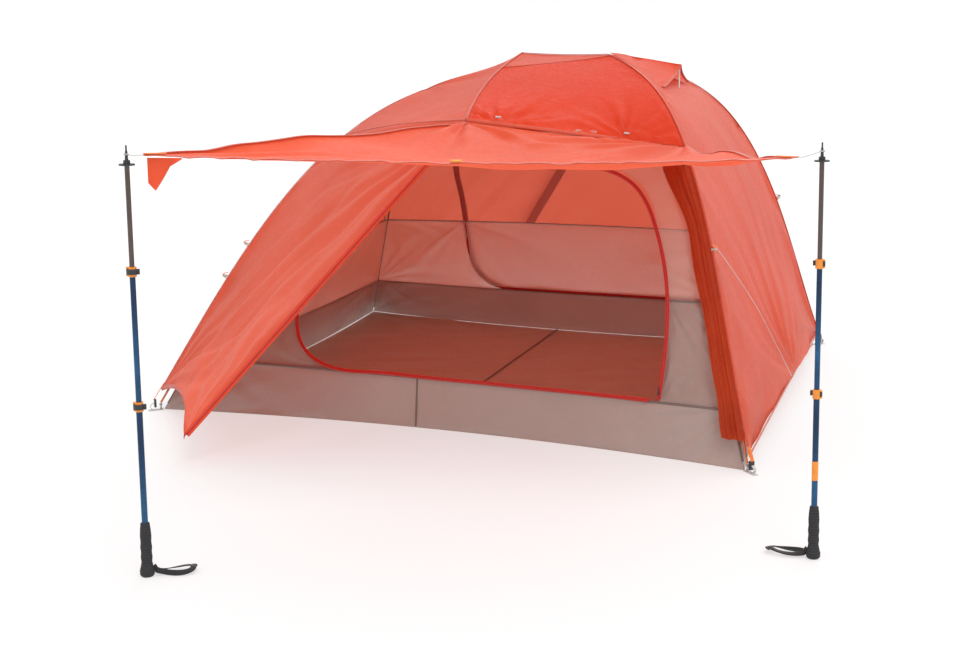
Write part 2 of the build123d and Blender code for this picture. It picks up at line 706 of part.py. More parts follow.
def trekking_pole(side):
    place = pole_place(side)
    name = side + "_pole"
    spin = Rot(0, 0, LEVER_TURN[side])
    PARTS[name + "_middle_shaft"] = place * hollow(MIDDLE_R, MIDDLE_R - TUBE_WALL, 300, HIGH_LOCK - 2)
    PARTS[name + "_high_clamp"] = place * spin * lock_clamp(HIGH_LOCK, MIDDLE_R, LOWER_R)
    PARTS[name + "_lower_shaft"] = place * hollow(LOWER_R, LOWER_R - 1.5, 690, BASKET_HEIGHT - 3)
    PARTS[name + "_tip_and_basket"] = group([place * pole_tip(), place * basket()])
    PARTS[name + "_low_lever"] = place * spin * lock_lever(LOW_LOCK)
    PARTS[name + "_high_lever"] = place * spin * lock_lever(HIGH_LOCK)
    PARTS[name + "_awning_tie"] = awning_tie(side)
    fixed_shaft = hollow(UPPER_R, MIDDLE_R + SLIDE_GAP, 22, LOW_LOCK - 2)
    return (place * grip(), place * fixed_shaft, place * spin * lock_clamp(LOW_LOCK, UPPER_R, MIDDLE_R))


# ---------------------------------------------------------------- assembly
def build_inner():
    foot, head, above = side_wall_panels()
    PARTS["inner_floor"] = inner_floor()
    PARTS["tub_walls"] = tub_walls()
    PARTS["near_wall"] = group(sheet(g) for g in (foot, head, above))
    PARTS["far_wall"] = group(sheet(flipped(g)) for g in (foot, head, above))
    PARTS["far_door"] = door_panel()
    PARTS["near_door_rolled"] = door_roll()
    PARTS["foot_wall"] = end_wall(inner_foot, 1150)
    PARTS["head_wall"] = end_wall(inner_head, 1300)
    PARTS["inner_roof"] = inner_roof()
    PARTS["door_zips"] = group([door_zip(-1), door_zip(1)])
    PARTS["corner_pocket"] = corner_pocket()


def build_fly():
    PARTS["fly_roof"] = fly_roof()
    PARTS["fly_front"] = sheet(fly_front())
    PARTS["fly_rear"] = sheet(flipped(fly_front()))
    PARTS["fly_foot_roof"] = fly_foot_roof()
    PARTS["near_vestibule_panel"] = sheet(vestibule_panel())
    PARTS["far_vestibule_panel"] = sheet(flipped(vestibule_panel()))
    PARTS["fly_foot_end"] = fly_end(fly_foot, 60, 25)
    PARTS["fly_head_end"] = fly_end(fly_head, 50, 18)
    PARTS["head_gather"] = head_gather()
    PARTS["far_vestibule_door"] = sheet(rear_door())
    PARTS["awning"] = awning()
    PARTS["awning_corner_flap"] = awning_flap()
    PARTS["awning_toggle"] = awning_toggle()
    PARTS["vent_hood"] = vent_hood()
    PARTS["vent_strut"] = vent_strut()
    PARTS["vestibule_zips"] = group([vestibule_zip(-1), vestibule_zip(1)])


def build_sliders():
    start, run, out = wall_track()
    slider = zip_slider(start, run, out)
    PARTS["near_door_slider"] = slider
    PARTS["far_door_slider"] = mirror(slider, Plane.XZ)
    start, run, out = vestibule_track()
    PARTS["near_vestibule_slider"] = zip_slider(start, run, out)
    low = start + run * (VESTIBULE_TRAVEL + 40)
    PARTS["far_vestibule_slider"] = mirror(zip_slider(low, run * -1, out), Plane.XZ)


def build_frame():
    PARTS["ridge_pole"] = ridge_pole()
    PARTS["cross_pole"] = cross_pole()
    PARTS["leg_poles"] = group(leg_poles(FOOT_POLE) + leg_poles(HEAD_POLE))
    PARTS["foot_hub"] = hub(FOOT_POLE, ridge_points()[1])
    PARTS["head_hub"] = hub(HEAD_POLE, ridge_points()[-2])
    PARTS["pole_tips"] = pole_tips()
    PARTS["pole_clips"] = pole_clips()
    PARTS["corner_straps"] = corner_straps()
    PARTS["corner_buckles"] = corner_buckles()
    PARTS["tie_out_tabs"] = tie_outs()
    PARTS["head_guyline"] = head_guyline()


def build_trekking_poles():
    grips, shafts, clamps = zip(*[trekking_pole(side) for side in ("left", "right")])
    PARTS["pole_grips"] = group(grips)
    PARTS["upper_shafts"] = group(shafts)
    PARTS["low_clamps"] = group(clamps)
    PARTS["wrist_straps"] = group(strap_loop(side) for side in ("left", "right"))


if __name__ == "__main__":
    os.makedirs("parts", exist_ok=True)
    build_inner()
    build_fly()
    build_sliders()
    build_frame()
    build_trekking_poles()
    for node, shape in PARTS.items():
        export_step(shape, f"parts/{node}.step")
    print(len(PARTS), "nodes")
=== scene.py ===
"""Looks of a hubbed dome tent with one vestibule door pitched as an awning on trekking poles.

Metres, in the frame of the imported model: the origin is the middle of the floor on the ground,
+X runs to the head end, +Y away from the awning and +Z up.
"""
import math

import bpy
import numpy as np
from mathutils import Matrix, Vector


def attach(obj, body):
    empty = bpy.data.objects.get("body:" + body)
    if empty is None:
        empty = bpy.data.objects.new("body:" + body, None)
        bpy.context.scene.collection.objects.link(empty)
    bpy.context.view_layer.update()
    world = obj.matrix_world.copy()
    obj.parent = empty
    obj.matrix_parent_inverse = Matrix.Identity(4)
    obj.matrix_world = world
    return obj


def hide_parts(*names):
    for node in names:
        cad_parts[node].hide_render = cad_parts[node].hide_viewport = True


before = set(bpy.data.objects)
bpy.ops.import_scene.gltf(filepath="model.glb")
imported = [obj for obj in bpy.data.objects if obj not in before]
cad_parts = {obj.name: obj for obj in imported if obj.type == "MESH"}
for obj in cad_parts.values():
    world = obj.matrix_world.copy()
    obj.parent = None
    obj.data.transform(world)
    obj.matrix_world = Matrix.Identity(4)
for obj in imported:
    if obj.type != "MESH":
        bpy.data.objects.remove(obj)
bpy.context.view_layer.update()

# ---------------------------------------------------------------- driving dimensions
FLOOR_HALF_X, FLOOR_HALF_Y = 1.208, 1.078
FLOOR_BOW_SIDE, FLOOR_BOW_END = 0.108, 0.060
TUB_HEIGHT = 0.200
SOLID_WALL_TOP = 0.570         # below this the inner walls are solid cloth, above it netting
INNER_INSET = 0.054
BROW_DROP = np.array((0.030, 0.142, -0.058))
CORE = np.array((0.100, 0.0, 0.300))
FOOT_HUB = (-0.450, 0.0, 1.285)
HEAD_HUB = (0.385, 0.0, 1.450)
RIDGE_PEAK = (0.0, 0.0, 1.452)
BROW = np.array((0.104, -1.000, 1.226))
BROW_HEAD = np.array((0.865, -0.610, 1.115))
FOOT_LEG = [FOOT_HUB, (-0.700, -0.330, 1.100), (-1.000, -0.755, 0.610), (-1.222, -1.068, 0.085)]
HEAD_LEG = [HEAD_HUB, (0.600, -0.250, 1.372), (0.770, -0.490, 1.245), (0.975, -0.780, 0.880),
            (1.112, -0.962, 0.450), (1.226, -1.096, 0.065)]
CROSS = [RIDGE_PEAK, (-0.005, -0.250, 1.398), (0.035, -0.650, 1.312), BROW]
BROW_LINE = [FOOT_LEG[1], (-0.290, -0.690, 1.180), BROW]
ZIP_END = np.array((-0.720, -1.720, 0.110))
AWNING_FOOT = np.array((-0.262, -2.598, 1.222))
AWNING_HEAD = np.array((1.432, -1.858, 1.206))
AWNING_SAG = 0.072
HINGE = [BROW + (0.006, -0.009, -0.008), BROW_HEAD + (-0.012, -0.010, -0.008)]
DOOR_SILL, DOOR_TOP = 0.206, 1.062
DOOR_FOOT_X, DOOR_HEAD_X = -0.680, 0.866
DOOR_CORNER = 0.185
FAR_DOOR_SHARE = 0.93          # width of the far door as a share of the near one
WALL_TOP = 1.180
SEAM_GAP = 0.0012
GROUND_GAP = 0.0006            # the floor's cloth stands this far off the ground
DOOR_TIP = ZIP_END + (0.016, 0, 0)
DOOR_LOW_HEAD = np.array(HEAD_LEG[-1]) + (-0.002, -0.008, 0)
FOOT_HEM_RISE, HEAD_HEM_RISE = 0.060, 0.050
UP = (0, 0, 1.0)
HEM_BAND, LEDGE_BAND, SEAM_BAND = (0.018, 0.0024), (0.009, 0.0016), (0.007, 0.0014)   # width and height
GUY_SHARE = 0.63               # where the guy's tab sits along the head leg
ROLL_TIES = (0.45, 0.78)       # heights of the rolled door's ties
DOOR_TRACK = [(DOOR_HEAD_X, .214), (DOOR_HEAD_X, .600), (.800, .830), (.700, .985), (.520, 1.056),
              (.350, 1.061), (.180, 1.064), (.030, 1.064), (-.110, 1.063), (-.250, 1.062),
              (-.390, 1.054), (-.520, 1.040), (-.646, .930), (-.680, .740), (-.678, .450),
              (-.630, .285), (-.500, .214), (-.300, .208), (-.100, .206), (.120, .206),
              (.350, .206), (.590, .206), (.830, .206)]


# ---------------------------------------------------------------- curves
def unit(v):
    return v / np.maximum(np.linalg.norm(v, axis=-1, keepdims=True), 1e-12)


def mirrored(points):
    return np.asarray(points, float) * (1, -1, 1)


def on_side(p, side):
    """Near-side points as they are for side -1, or mirrored to the far side for side 1."""
    return p if side < 0 else mirrored(p)


def facing(direction, count):
    """The same direction for each of a line's points."""
    return np.tile(direction, (count, 1))


def circle(a):
    return np.stack([np.cos(a), np.sin(a), 0 * a], -1)


def outset(p, distance):
    return p + unit(np.asarray(p, float) - CORE) * distance


def end_slope(s, p):
    """Slope at s[0] of the polynomial through the points."""
    return np.linalg.solve(np.vander(s - s[0], increasing=True), p)[1]


def curve(points):
    """A smooth line through the points, as a function from shares of its length to points."""
    p = np.array(points, float)
    if len(p) == 2:
        return lambda t: p[0] + (p[1] - p[0]) * np.clip(t, 0, 1)[..., None]
    knots = np.r_[0, np.cumsum(np.linalg.norm(np.diff(p, axis=0), axis=1))]
    n, h = len(p), np.diff(knots)
    slopes = np.diff(p, axis=0) / h[:, None]
    a, b = np.zeros((n, n)), np.zeros((n, 3))
    first = end_slope(knots[:4], p[:4])
    last = end_slope(knots[::-1][:4], p[::-1][:4])
    a[0, :2], b[0] = (2 * h[0], h[0]), 6 * (slopes[0] - first)
    a[-1, -2:], b[-1] = (h[-1], 2 * h[-1]), 6 * (last - slopes[-1])
    for i in range(1, n - 1):
        a[i, i - 1:i + 2] = h[i - 1], 2 * (h[i - 1] + h[i]), h[i]
        b[i] = 6 * (slopes[i] - slopes[i - 1])
    m = np.linalg.solve(a, b)
    s = np.linspace(0, knots[-1], 1201)
    k = np.clip(np.searchsorted(knots, s, side="right") - 1, 0, n - 2)
    lo, hi, step = (s - knots[k])[:, None], (knots[k + 1] - s)[:, None], h[k][:, None]
    fine = (m[k] * hi ** 3 + m[k + 1] * lo ** 3) / (6 * step) \
        + (p[k] / step - m[k] * step / 6) * hi + (p[k + 1] / step - m[k + 1] * step / 6) * lo
    run = np.r_[0, np.cumsum(np.linalg.norm(np.diff(fine, axis=0), axis=1))]
    return lambda t: np.stack([np.interp(np.clip(t, 0, 1), run / run[-1], fine[:, c])
                               for c in range(3)], -1)


def point_at(line, share):
    return line(np.array([share]))[0]


def part_of(line, start, end):
    return lambda t: line(start + (end - start) * np.asarray(t, float))


def far(line):
    return lambda t: mirrored(line(t))


def share_at(line, point):
    t = np.linspace(0, 1, 1201)
    return t[np.linalg.norm(line(t) - np.asarray(point, float), axis=1).argmin()]


fly_foot, fly_head, fly_cross = curve(FOOT_LEG), curve(HEAD_LEG), curve(CROSS)
foot_ridge = curve([FOOT_HUB, (-0.243, 0, 1.356), (-0.083, 0, 1.408), RIDGE_PEAK])
head_ridge = curve([RIDGE_PEAK, (0.190, 0, 1.446), HEAD_HUB])
brow_fold, shoulder_fold = curve([BROW, BROW_HEAD]), curve(BROW_LINE)
vestibule_hem = curve([FOOT_LEG[-1], (-0.940, -1.370, 0.165), ZIP_END])
door_hem = curve([DOOR_TIP, (0.280, -1.470, 0.140), DOOR_LOW_HEAD])
shoulder_t = share_at(fly_foot, FOOT_LEG[1])
brow_t = share_at(fly_head, BROW_HEAD)
inner_foot = curve([outset(p, -INNER_INSET) for p in FOOT_LEG[:3]] + [(-FLOOR_HALF_X, -FLOOR_HALF_Y, .002)])
inner_head = curve([outset(p, -INNER_INSET) for p in HEAD_LEG[:5]] + [(FLOOR_HALF_X, -FLOOR_HALF_Y, .002)])


def at_height(line, z):
    """x and y of a falling line at height z."""
    p = line(np.linspace(1, 0, 1201))
    return np.interp(z, p[:, 2], p[:, 0]), np.interp(z, p[:, 2], p[:, 1])


def side_wall(x, z):
    """The near inner wall: a shallow curve through both legs and the brow at each height."""
    x, z = np.broadcast_arrays(np.asarray(x, float), np.asarray(z, float))
    (fx, fy), (hx, hy) = at_height(inner_foot, z), at_height(inner_head, z)
    brow = BROW + BROW_DROP
    share = z / brow[2]
    mx, my = brow[0] * share, (FLOOR_BOW_SIDE - FLOOR_HALF_Y) * (1 - share) + brow[1] * share
    y = (fy * (x - mx) * (x - hx) / ((fx - mx) * (fx - hx))
         + my * (x - fx) * (x - hx) / ((mx - fx) * (mx - hx))
         + hy * (x - fx) * (x - mx) / ((hx - fx) * (hx - mx)))
    return np.stack([x, y, z], -1)


def foot_edge(z):
    return at_height(inner_foot, z)[0] + 2 * SEAM_GAP


def head_edge(z):
    return at_height(inner_head, z)[0] - 2 * SEAM_GAP


def corner_round(z):
    reach = np.maximum(np.maximum(DOOR_SILL + DOOR_CORNER - z, z - DOOR_TOP + DOOR_CORNER), 0)
    return DOOR_CORNER - np.sqrt(np.maximum(DOOR_CORNER ** 2 - reach ** 2, 0))


def door_left(z):
    return DOOR_FOOT_X + corner_round(z)


def foot_side(z, side):
    """The foot-side edge of a door; the far door is a little narrower."""
    return DOOR_HEAD_X - (DOOR_HEAD_X - door_left(z)) * (1.0 if side < 0 else FAR_DOOR_SHARE)


def door_right(z):
    return DOOR_HEAD_X - 0.28 * np.maximum(z - 0.6, 0) - np.where(z > 0.6, corner_round(z), 0)


# ---------------------------------------------------------------- noise, all of it seeded
def noise1(x, seed):
    table = np.random.default_rng(seed).uniform(-1, 1, 256)
    i = np.floor(x).astype(int)
    f = x - i
    f = f * f * (3 - 2 * f)
    return table[i % 256] * (1 - f) + table[(i + 1) % 256] * f


def noise2(x, y, seed):
    table = np.random.default_rng(seed).uniform(-1, 1, (64, 64))
    i, j = np.floor(x).astype(int), np.floor(y).astype(int)
    f, g = x - i, y - j
    f, g = f * f * (3 - 2 * f), g * g * (3 - 2 * g)
    low = table[i % 64, j % 64] * (1 - f) + table[(i + 1) % 64, j % 64] * f
    high = table[i % 64, (j + 1) % 64] * (1 - f) + table[(i + 1) % 64, (j + 1) % 64] * f
    return low * (1 - g) + high * g


def smooth(x):
    x = np.clip(x, 0, 1)
    return x * x * (3 - 2 * x)


# ---------------------------------------------------------------- meshes
def mesh_object(name, verts, faces, material, uv=None):
    mesh = bpy.data.meshes.new(name)
    mesh.from_pydata([tuple(v) for v in verts], [], faces)
    mesh.validate()
    mesh.polygons.foreach_set("use_smooth", [True] * len(mesh.polygons))
    if uv is not None:
        layer = mesh.uv_layers.new(name="UVMap")
        corners = np.zeros(len(mesh.loops), int)
        mesh.loops.foreach_get("vertex_index", corners)
        layer.data.foreach_set("uv", np.asarray(uv, np.float32)[corners].ravel())
    mesh.materials.append(material)
    obj = bpy.data.objects.new(name, mesh)
    bpy.context.scene.collection.objects.link(obj)
    return obj


def finish_piece(obj, body, nodes=()):
    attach(obj, body)
    if nodes:
        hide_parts(*nodes)
    return obj


class Panel:
    """One cut of cloth on a grid of points, with folds added along its normals."""

    def __init__(self, grid, sewn=("u0", "u1", "v0", "v1"), flip=False):
        self.grid = grid[::-1] if flip else grid
        self.rows, self.columns = self.grid.shape[:2]
        along = np.linalg.norm(np.diff(self.grid, axis=0), axis=2)
        down = np.linalg.norm(np.diff(self.grid, axis=1), axis=2)
        self.x = np.r_[np.zeros((1, self.columns)), np.cumsum(along, axis=0)]
        self.y = np.c_[np.zeros((self.rows, 1)), np.cumsum(down, axis=1)]
        self.gap = {"u0": self.x, "u1": self.x[-1:] - self.x, "v0": self.y, "v1": self.y[:, -1:] - self.y}
        self.sewn = sewn
        self.lift = np.zeros((self.rows, self.columns))

    def normals(self):
        du, dv = np.gradient(self.grid, axis=0), np.gradient(self.grid, axis=1)
        return unit(np.cross(du, dv))

    def fan(self, u, v, count, height, reach, seed):
        """Tension folds that radiate from a corner or a clip."""
        i, j = round(u * (self.rows - 1)), round(v * (self.columns - 1))
        dx, dy = self.x - self.x[i, j], self.y - self.y[i, j]
        r = np.hypot(dx, dy) / reach
        angle = np.arctan2(dy, dx) + 0.06 * noise2(self.x * 5, self.y * 5, seed + 7)
        self.lift += height * noise1((angle + 4) * count, seed) * r * np.exp(1 - r)
        return self

    def pucker(self, edge, height, pitch, reach, seed):
        """Short folds that stand off a sewn edge."""
        d = self.gap[edge]
        s = self.y if edge[0] == "u" else self.x
        skew = 0.25 * noise2(self.x * 4, self.y * 4, seed + 3)
        self.lift += height * noise1((s + skew * d) / pitch, seed) * np.exp(-d / reach)
        return self

    def draw(self, degrees, pitch, height, seed, centre=None, size=None):
        """Long folds that run across the panel in one direction, over all of it or round a place."""
        a = math.radians(degrees)
        across = -self.x * math.sin(a) + self.y * math.cos(a)
        down = self.x * math.cos(a) + self.y * math.sin(a)
        bend = 0.35 * noise2(down * 1.3, across * 2.1, seed + 1)
        shape = noise1(across / pitch + bend, seed) * (0.6 + 0.4 * noise2(down * 2.0, across * 6, seed + 2))
        if centre is not None:
            cx, cy = centre[0] * self.x.max(), centre[1] * self.y.max()
            shape = shape * np.exp(-((self.x - cx) ** 2 + (self.y - cy) ** 2) / size ** 2)
        self.lift += height * shape
        return self

    def billow(self, height, size, seed):
        self.lift += height * noise2(self.x / size, self.y / size, seed)
        return self

    def points(self, hold=0.03):
        held = np.ones_like(self.lift)
        for edge in self.sewn:
            held = held * smooth(self.gap[edge] / hold)
        return self.grid + self.normals() * (self.lift * held)[..., None]

    def faces(self, start=0):
        n = self.columns
        cells = (start + i * n + j for i in range(self.rows - 1) for j in range(n - 1))
        return [(k, k + n, k + n + 1, k + 1) for k in cells]


def cloth(name, panels, material, body, nodes=(), hold=0.03, floor_z=None):
    """One piece from one or more panels, with UVs that measure the cloth in metres."""
    verts, faces, uv = [], [], []
    for panel in panels:
        faces += panel.faces(len(verts))
        p = panel.points(hold).reshape(-1, 3)
        if floor_z is not None:
            p[:, 2] = np.maximum(p[:, 2], floor_z)
        verts += list(p)
        uv += list(np.stack([panel.x.ravel(), panel.y.ravel()], -1))
    obj = mesh_object(name, verts, faces, material, uv)
    finish_piece(obj, body, nodes)
    return obj


STRIP_SECTION = [(-.5, 0), (-.47, .7), (-.38, 1), (0, 1.06), (.38, 1), (.47, .7), (.5, 0), (.38, -.25),
                 (-.38, -.25)]


def strip(name, lines, material, body, nodes=(), closed=False):
    """Flat bands: each line is (centre points, upward directions, width, height)."""
    verts, faces, uv = [], [], []
    n = len(STRIP_SECTION)
    for centre, up, width, height in lines:
        start, count = len(verts), len(centre)
        run = unit(np.gradient(centre, axis=0))
        up = unit(up - run * (up * run).sum(-1, keepdims=True))
        side = np.cross(run, up)
        s = np.r_[0, np.cumsum(np.linalg.norm(np.diff(centre, axis=0), axis=1))]
        wide = np.broadcast_to(np.asarray(width, float), count)
        for i in range(count):
            for a, b in STRIP_SECTION:
                verts.append(centre[i] + side[i] * a * wide[i] + up[i] * b * height)
                uv.append((s[i], a * wide[i]))
        rings = count if closed else count - 1
        for i in range(rings):
            lo, hi = start + i * n, start + (i + 1) % count * n
            faces += [(lo + k, lo + (k + 1) % n, hi + (k + 1) % n, hi + k) for k in range(n)]
        if not closed:
            faces += [tuple(range(start, start + n))[::-1],
                      tuple(range(start + (count - 1) * n, start + count * n))]
    return finish_piece(mesh_object(name, verts, faces, material, uv), body, nodes)


def tube(name, lines, material, body, nodes=(), sides=12):
    """Round bars: each line is (centre points, radius or one radius for each point)."""
    verts, faces, uv = [], [], []
    for centre, radius in lines:
        start, count = len(verts), len(centre)
        run = unit(np.gradient(centre, axis=0))
        up = unit(np.cross(run[0], (0.31, 0.24, 0.92)))
        radii = np.broadcast_to(np.asarray(radius, float), count)
        for i in range(count):
            up = unit(up - run[i] * (up @ run[i]))
            side = np.cross(run[i], up)
            for k in range(sides):
                a = 2 * math.pi * k / sides
                verts.append(centre[i] + (up * math.cos(a) + side * math.sin(a)) * radii[i])
                uv.append((i / count, k / sides))
        for i in range(count - 1):
            lo, hi = start + i * sides, start + (i + 1) * sides
            faces += [(lo + k, lo + (k + 1) % sides, hi + (k + 1) % sides, hi + k) for k in range(sides)]
        faces += [tuple(range(start, start + sides))[::-1],
                  tuple(range(start + (count - 1) * sides, start + count * sides))]
    return finish_piece(mesh_object(name, verts, faces, material, uv), body, nodes)


def coons(top, bottom, left, right, u, v, sag=0.0):
    """Grid of a patch between four lines; v is the same for all rows or one row for each u."""
    u = np.asarray(u, float)[:, None]
    v = np.broadcast_to(np.asarray(v, float), (len(u), np.asarray(v).shape[-1]))
    one, zero = np.array([1.0]), np.array([0.0])
    uu, vv = u[..., None], v[..., None]
    p = top(u) * (1 - vv) + bottom(u) * vv + left(v) * (1 - uu) + right(v) * uu
    high = top(zero) * (1 - uu) + top(one) * uu
    low = bottom(zero) * (1 - uu) + bottom(one) * uu
    p = p - high * (1 - vv) - low * vv
    return outset(p, -sag * np.sin(np.pi * u)[..., None] * np.sin(np.pi * vv))


def span(count, low=0.0, high=1.0):
    return np.linspace(low, high, count)


# ---------------------------------------------------------------- materials
THREAD_DEPTH = 0.00012


class Shading:
    """A new material, with short ways to add nodes to it; an input is a value or another node's output."""

    def __init__(self, name, alpha=1.0):
        self.material = bpy.data.materials.new(name)
        self.material.use_nodes = True
        self.tree = self.material.node_tree
        self.shader = self.tree.nodes["Principled BSDF"]
        self.surface({"Alpha": alpha})
        self.place = self.node("ShaderNodeTexCoord").outputs

    def fill(self, made, inputs):
        for key, value in inputs.items():
            if isinstance(value, bpy.types.NodeSocket):
                self.tree.links.new(value, made.inputs[key])
            else:
                made.inputs[key].default_value = value

    def node(self, kind, inputs=None, **values):
        made = self.tree.nodes.new(kind)
        for key, value in values.items():
            setattr(made, key, value)
        self.fill(made, inputs or {})
        return made

    def surface(self, inputs):
        self.fill(self.shader, inputs)
        return self.material

    def noise(self, vector, scale, detail=4.0, distortion=0.0):
        inputs = {"Scale": scale, "Detail": detail, "Distortion": distortion, "Vector": vector}
        return self.node("ShaderNodeTexNoise", inputs).outputs["Fac"]

    def wave(self, period, direction, source="UV"):
        """Bands a given distance apart."""
        inputs = {"Scale": 2 * math.pi / 20 / period, "Vector": self.place[source]}
        return self.node("ShaderNodeTexWave", inputs, wave_type="BANDS",
                         bands_direction=direction).outputs["Fac"]

    def math(self, operation, a, b):
        return self.node("ShaderNodeMath", {0: a, 1: b}, operation=operation).outputs[0]

    def mix(self, factor, a, b):
        a, b = ((*c, 1) if isinstance(c, tuple) else c for c in (a, b))
        return self.node("ShaderNodeMix", {"Factor": factor, 6: a, 7: b}, data_type="RGBA").outputs[2]

    def bump(self, height, distance, strength=1.0, **normal):
        inputs = {"Distance": distance, "Strength": strength, "Height": height, **normal}
        return self.node("ShaderNodeBump", inputs).outputs["Normal"]

    def spread(self, value, low, high):
        """The middle of a noise's values moved to a range."""
        inputs = {"From Min": 0.3, "From Max": 0.7, "To Min": low, "To Max": high, "Value": value}
        return self.node("ShaderNodeMapRange", inputs).outputs["Result"]

    def blend(self, share, other):
        """Mix another shader into the surface."""
        both = self.node("ShaderNodeMixShader", {0: share, 1: self.shader.outputs[0], 2: other.outputs[0]})
        self.fill(self.tree.nodes["Material Output"], {"Surface": both.outputs[0]})


def fabric(name, light, dark, thread=0.0012, grid=0.0, through=0.3, sheen=0.25, gloss=0.5,
           crease=0.0022, crease_scale=16.0):
    """Woven cloth: threads, an optional ripstop grid, creases, uneven dye and light through it."""
    s = Shading(name)
    weave = s.math("MULTIPLY", s.wave(thread, "X"), s.wave(thread, "Y"))
    dye = s.noise(s.place["Object"], 2.6, 5.0, 0.6)
    fleck = s.noise(s.place["Object"], 60.0, 3.0)
    shade = tuple(c * 0.86 for c in dark)
    colour = s.mix(s.spread(dye, 0.0, 0.75), light, dark)
    colour = s.mix(s.math("MULTIPLY", fleck, 0.3), colour, shade)
    if grid:
        ripstop = s.math("MAXIMUM", *(s.math("POWER", s.wave(grid, d), 14.0) for d in "XY"))
        colour = s.mix(s.math("MULTIPLY", ripstop, 0.35), colour, shade)
        weave = s.math("ADD", weave, ripstop)
    creased = s.bump(s.noise(s.place["Object"], crease_scale, 7.0, 1.4), crease)
    normal = s.bump(weave, THREAD_DEPTH, 0.6, Normal=creased)
    if through:
        s.blend(through, s.node("ShaderNodeBsdfTranslucent", {"Color": colour, "Normal": normal}))
    return s.surface({"Base Color": colour, "Roughness": s.spread(fleck, gloss - 0.08, gloss + 0.1),
                      "Sheen Weight": sheen, "Sheen Roughness": 0.45, "Specular IOR Level": 0.22,
                      "Normal": normal})


def netting(name, light, dark, alpha):
    """Sheer knitted mesh: see-through, with a fine hexagonal knit."""
    s = Shading(name, alpha)
    cells = s.node("ShaderNodeTexVoronoi", {"Scale": 620.0, "Vector": s.place["UV"]},
                   feature="DISTANCE_TO_EDGE")
    knit = cells.outputs["Distance"]
    colour = s.mix(s.spread(s.noise(s.place["Object"], 3.0), 0.1, 0.9), light, dark)
    return s.surface({"Base Color": s.mix(knit, colour, dark), "Roughness": 0.7, "Sheen Weight": 0.3,
                      "Normal": s.bump(knit, 0.0003)})


def moulded(name, light, dark, gloss=0.4, grain=900.0, depth=0.0001, metallic=0.0, coat=0.0, stretch=None):
    """Plastic, rubber or metal: fine grain, uneven tone and gloss, and light scuffs."""
    s = Shading(name)
    where = s.place["Object"]
    if stretch:
        where = s.node("ShaderNodeMapping", {"Scale": stretch, "Vector": where}).outputs["Vector"]
    fine = s.noise(where, grain, 3.0)
    tone = s.noise(s.place["Object"], 38.0, 4.0, 0.4)
    return s.surface({"Base Color": s.mix(s.spread(tone, 0.0, 1.0), light, dark),
                      "Roughness": s.spread(fine, gloss - 0.08, gloss + 0.12),
                      "Metallic": metallic, "Coat Weight": coat, "Normal": s.bump(fine, depth)})


def banded(name, base, bands, period, gloss=0.35, metallic=0.0, axis="Z", depth=0.0004):
    """A finish with bands along an axis, such as a printed shaft, a zip's teeth or a ribbed grip."""
    s = Shading(name)
    lines = s.wave(period, axis, "Object" if axis == "Z" else "UV")
    tone = s.noise(s.place["Object"], 22.0, 4.0, 1.0)
    factor = s.math("MULTIPLY", lines, s.spread(tone, 0.35, 1.0))
    return s.surface({"Base Color": s.mix(factor, base, bands), "Metallic": metallic,
                      "Roughness": s.spread(tone, gloss - 0.05, gloss + 0.12),
                      "Normal": s.bump(lines, depth)})


CORAL = fabric("fly_coral", (0.90, 0.165, 0.090), (0.82, 0.130, 0.066), grid=0.006, through=0.50, sheen=0.10,
               gloss=0.42)
CORAL_DEEP = fabric("fly_coral_front", (0.84, 0.060, 0.009), (0.76, 0.045, 0.006), grid=0.006, through=0.42,
                    sheen=0.04, gloss=0.50)
# a darker copy of the fly coral for the gathered door edge: painted shade for its bunched, overlapping folds
CORAL_FOLD_SHADE = fabric("folded_fly_edge_painted_shade", (0.66, 0.080, 0.018), (0.40, 0.038, 0.009), grid=0.006,
                      through=0.42, sheen=0.05, gloss=0.44)
CORAL_EDGE = fabric("fly_binding", (0.62, 0.075, 0.032), (0.52, 0.058, 0.025), thread=0.0018, through=0.1)
CORAL_AWNING = fabric("fly_coral_awning", (0.88, 0.125, 0.050), (0.78, 0.092, 0.034), grid=0.006,
                      through=0.42, sheen=0.08, gloss=0.44)
TUB = fabric("tub_nylon", (0.50, 0.415, 0.375), (0.44, 0.36, 0.325), thread=0.0010, through=0.25, sheen=0.5,
             gloss=0.36)
SOLID_WALL = fabric("wall_nylon", (0.88, 0.84, 0.80), (0.80, 0.76, 0.72), thread=0.0010, through=0.5)
# a darker copy of the wall nylon for the near side's solid walls: painted shade from the awning and the dark
# inside behind them, not a different cloth
SHADED_WALL = fabric("near_wall_nylon_painted_shade", (0.46, 0.37, 0.33), (0.38, 0.30, 0.265), thread=0.0010, through=0.3)
FLOOR_CLOTH = fabric("floor_nylon", (0.52, 0.39, 0.25), (0.44, 0.32, 0.20), thread=0.0012, through=0.0,
                     sheen=0.4,
                     gloss=0.42, crease=0.003, crease_scale=9.0)
NET = netting("wall_netting", (0.70, 0.56, 0.49), (0.60, 0.46, 0.39), 0.34)
SEAM_GREY = fabric("inner_seam_tape", (0.20, 0.15, 0.13), (0.15, 0.11, 0.10), thread=0.0015, through=0.0)
ZIP_RED = banded("zip_teeth", (0.52, 0.020, 0.015), (0.30, 0.010, 0.010), 0.0030, axis="X")
ZIP_TAPE = fabric("zip_tape", (0.62, 0.030, 0.018), (0.50, 0.020, 0.014), thread=0.0011, through=0.0)
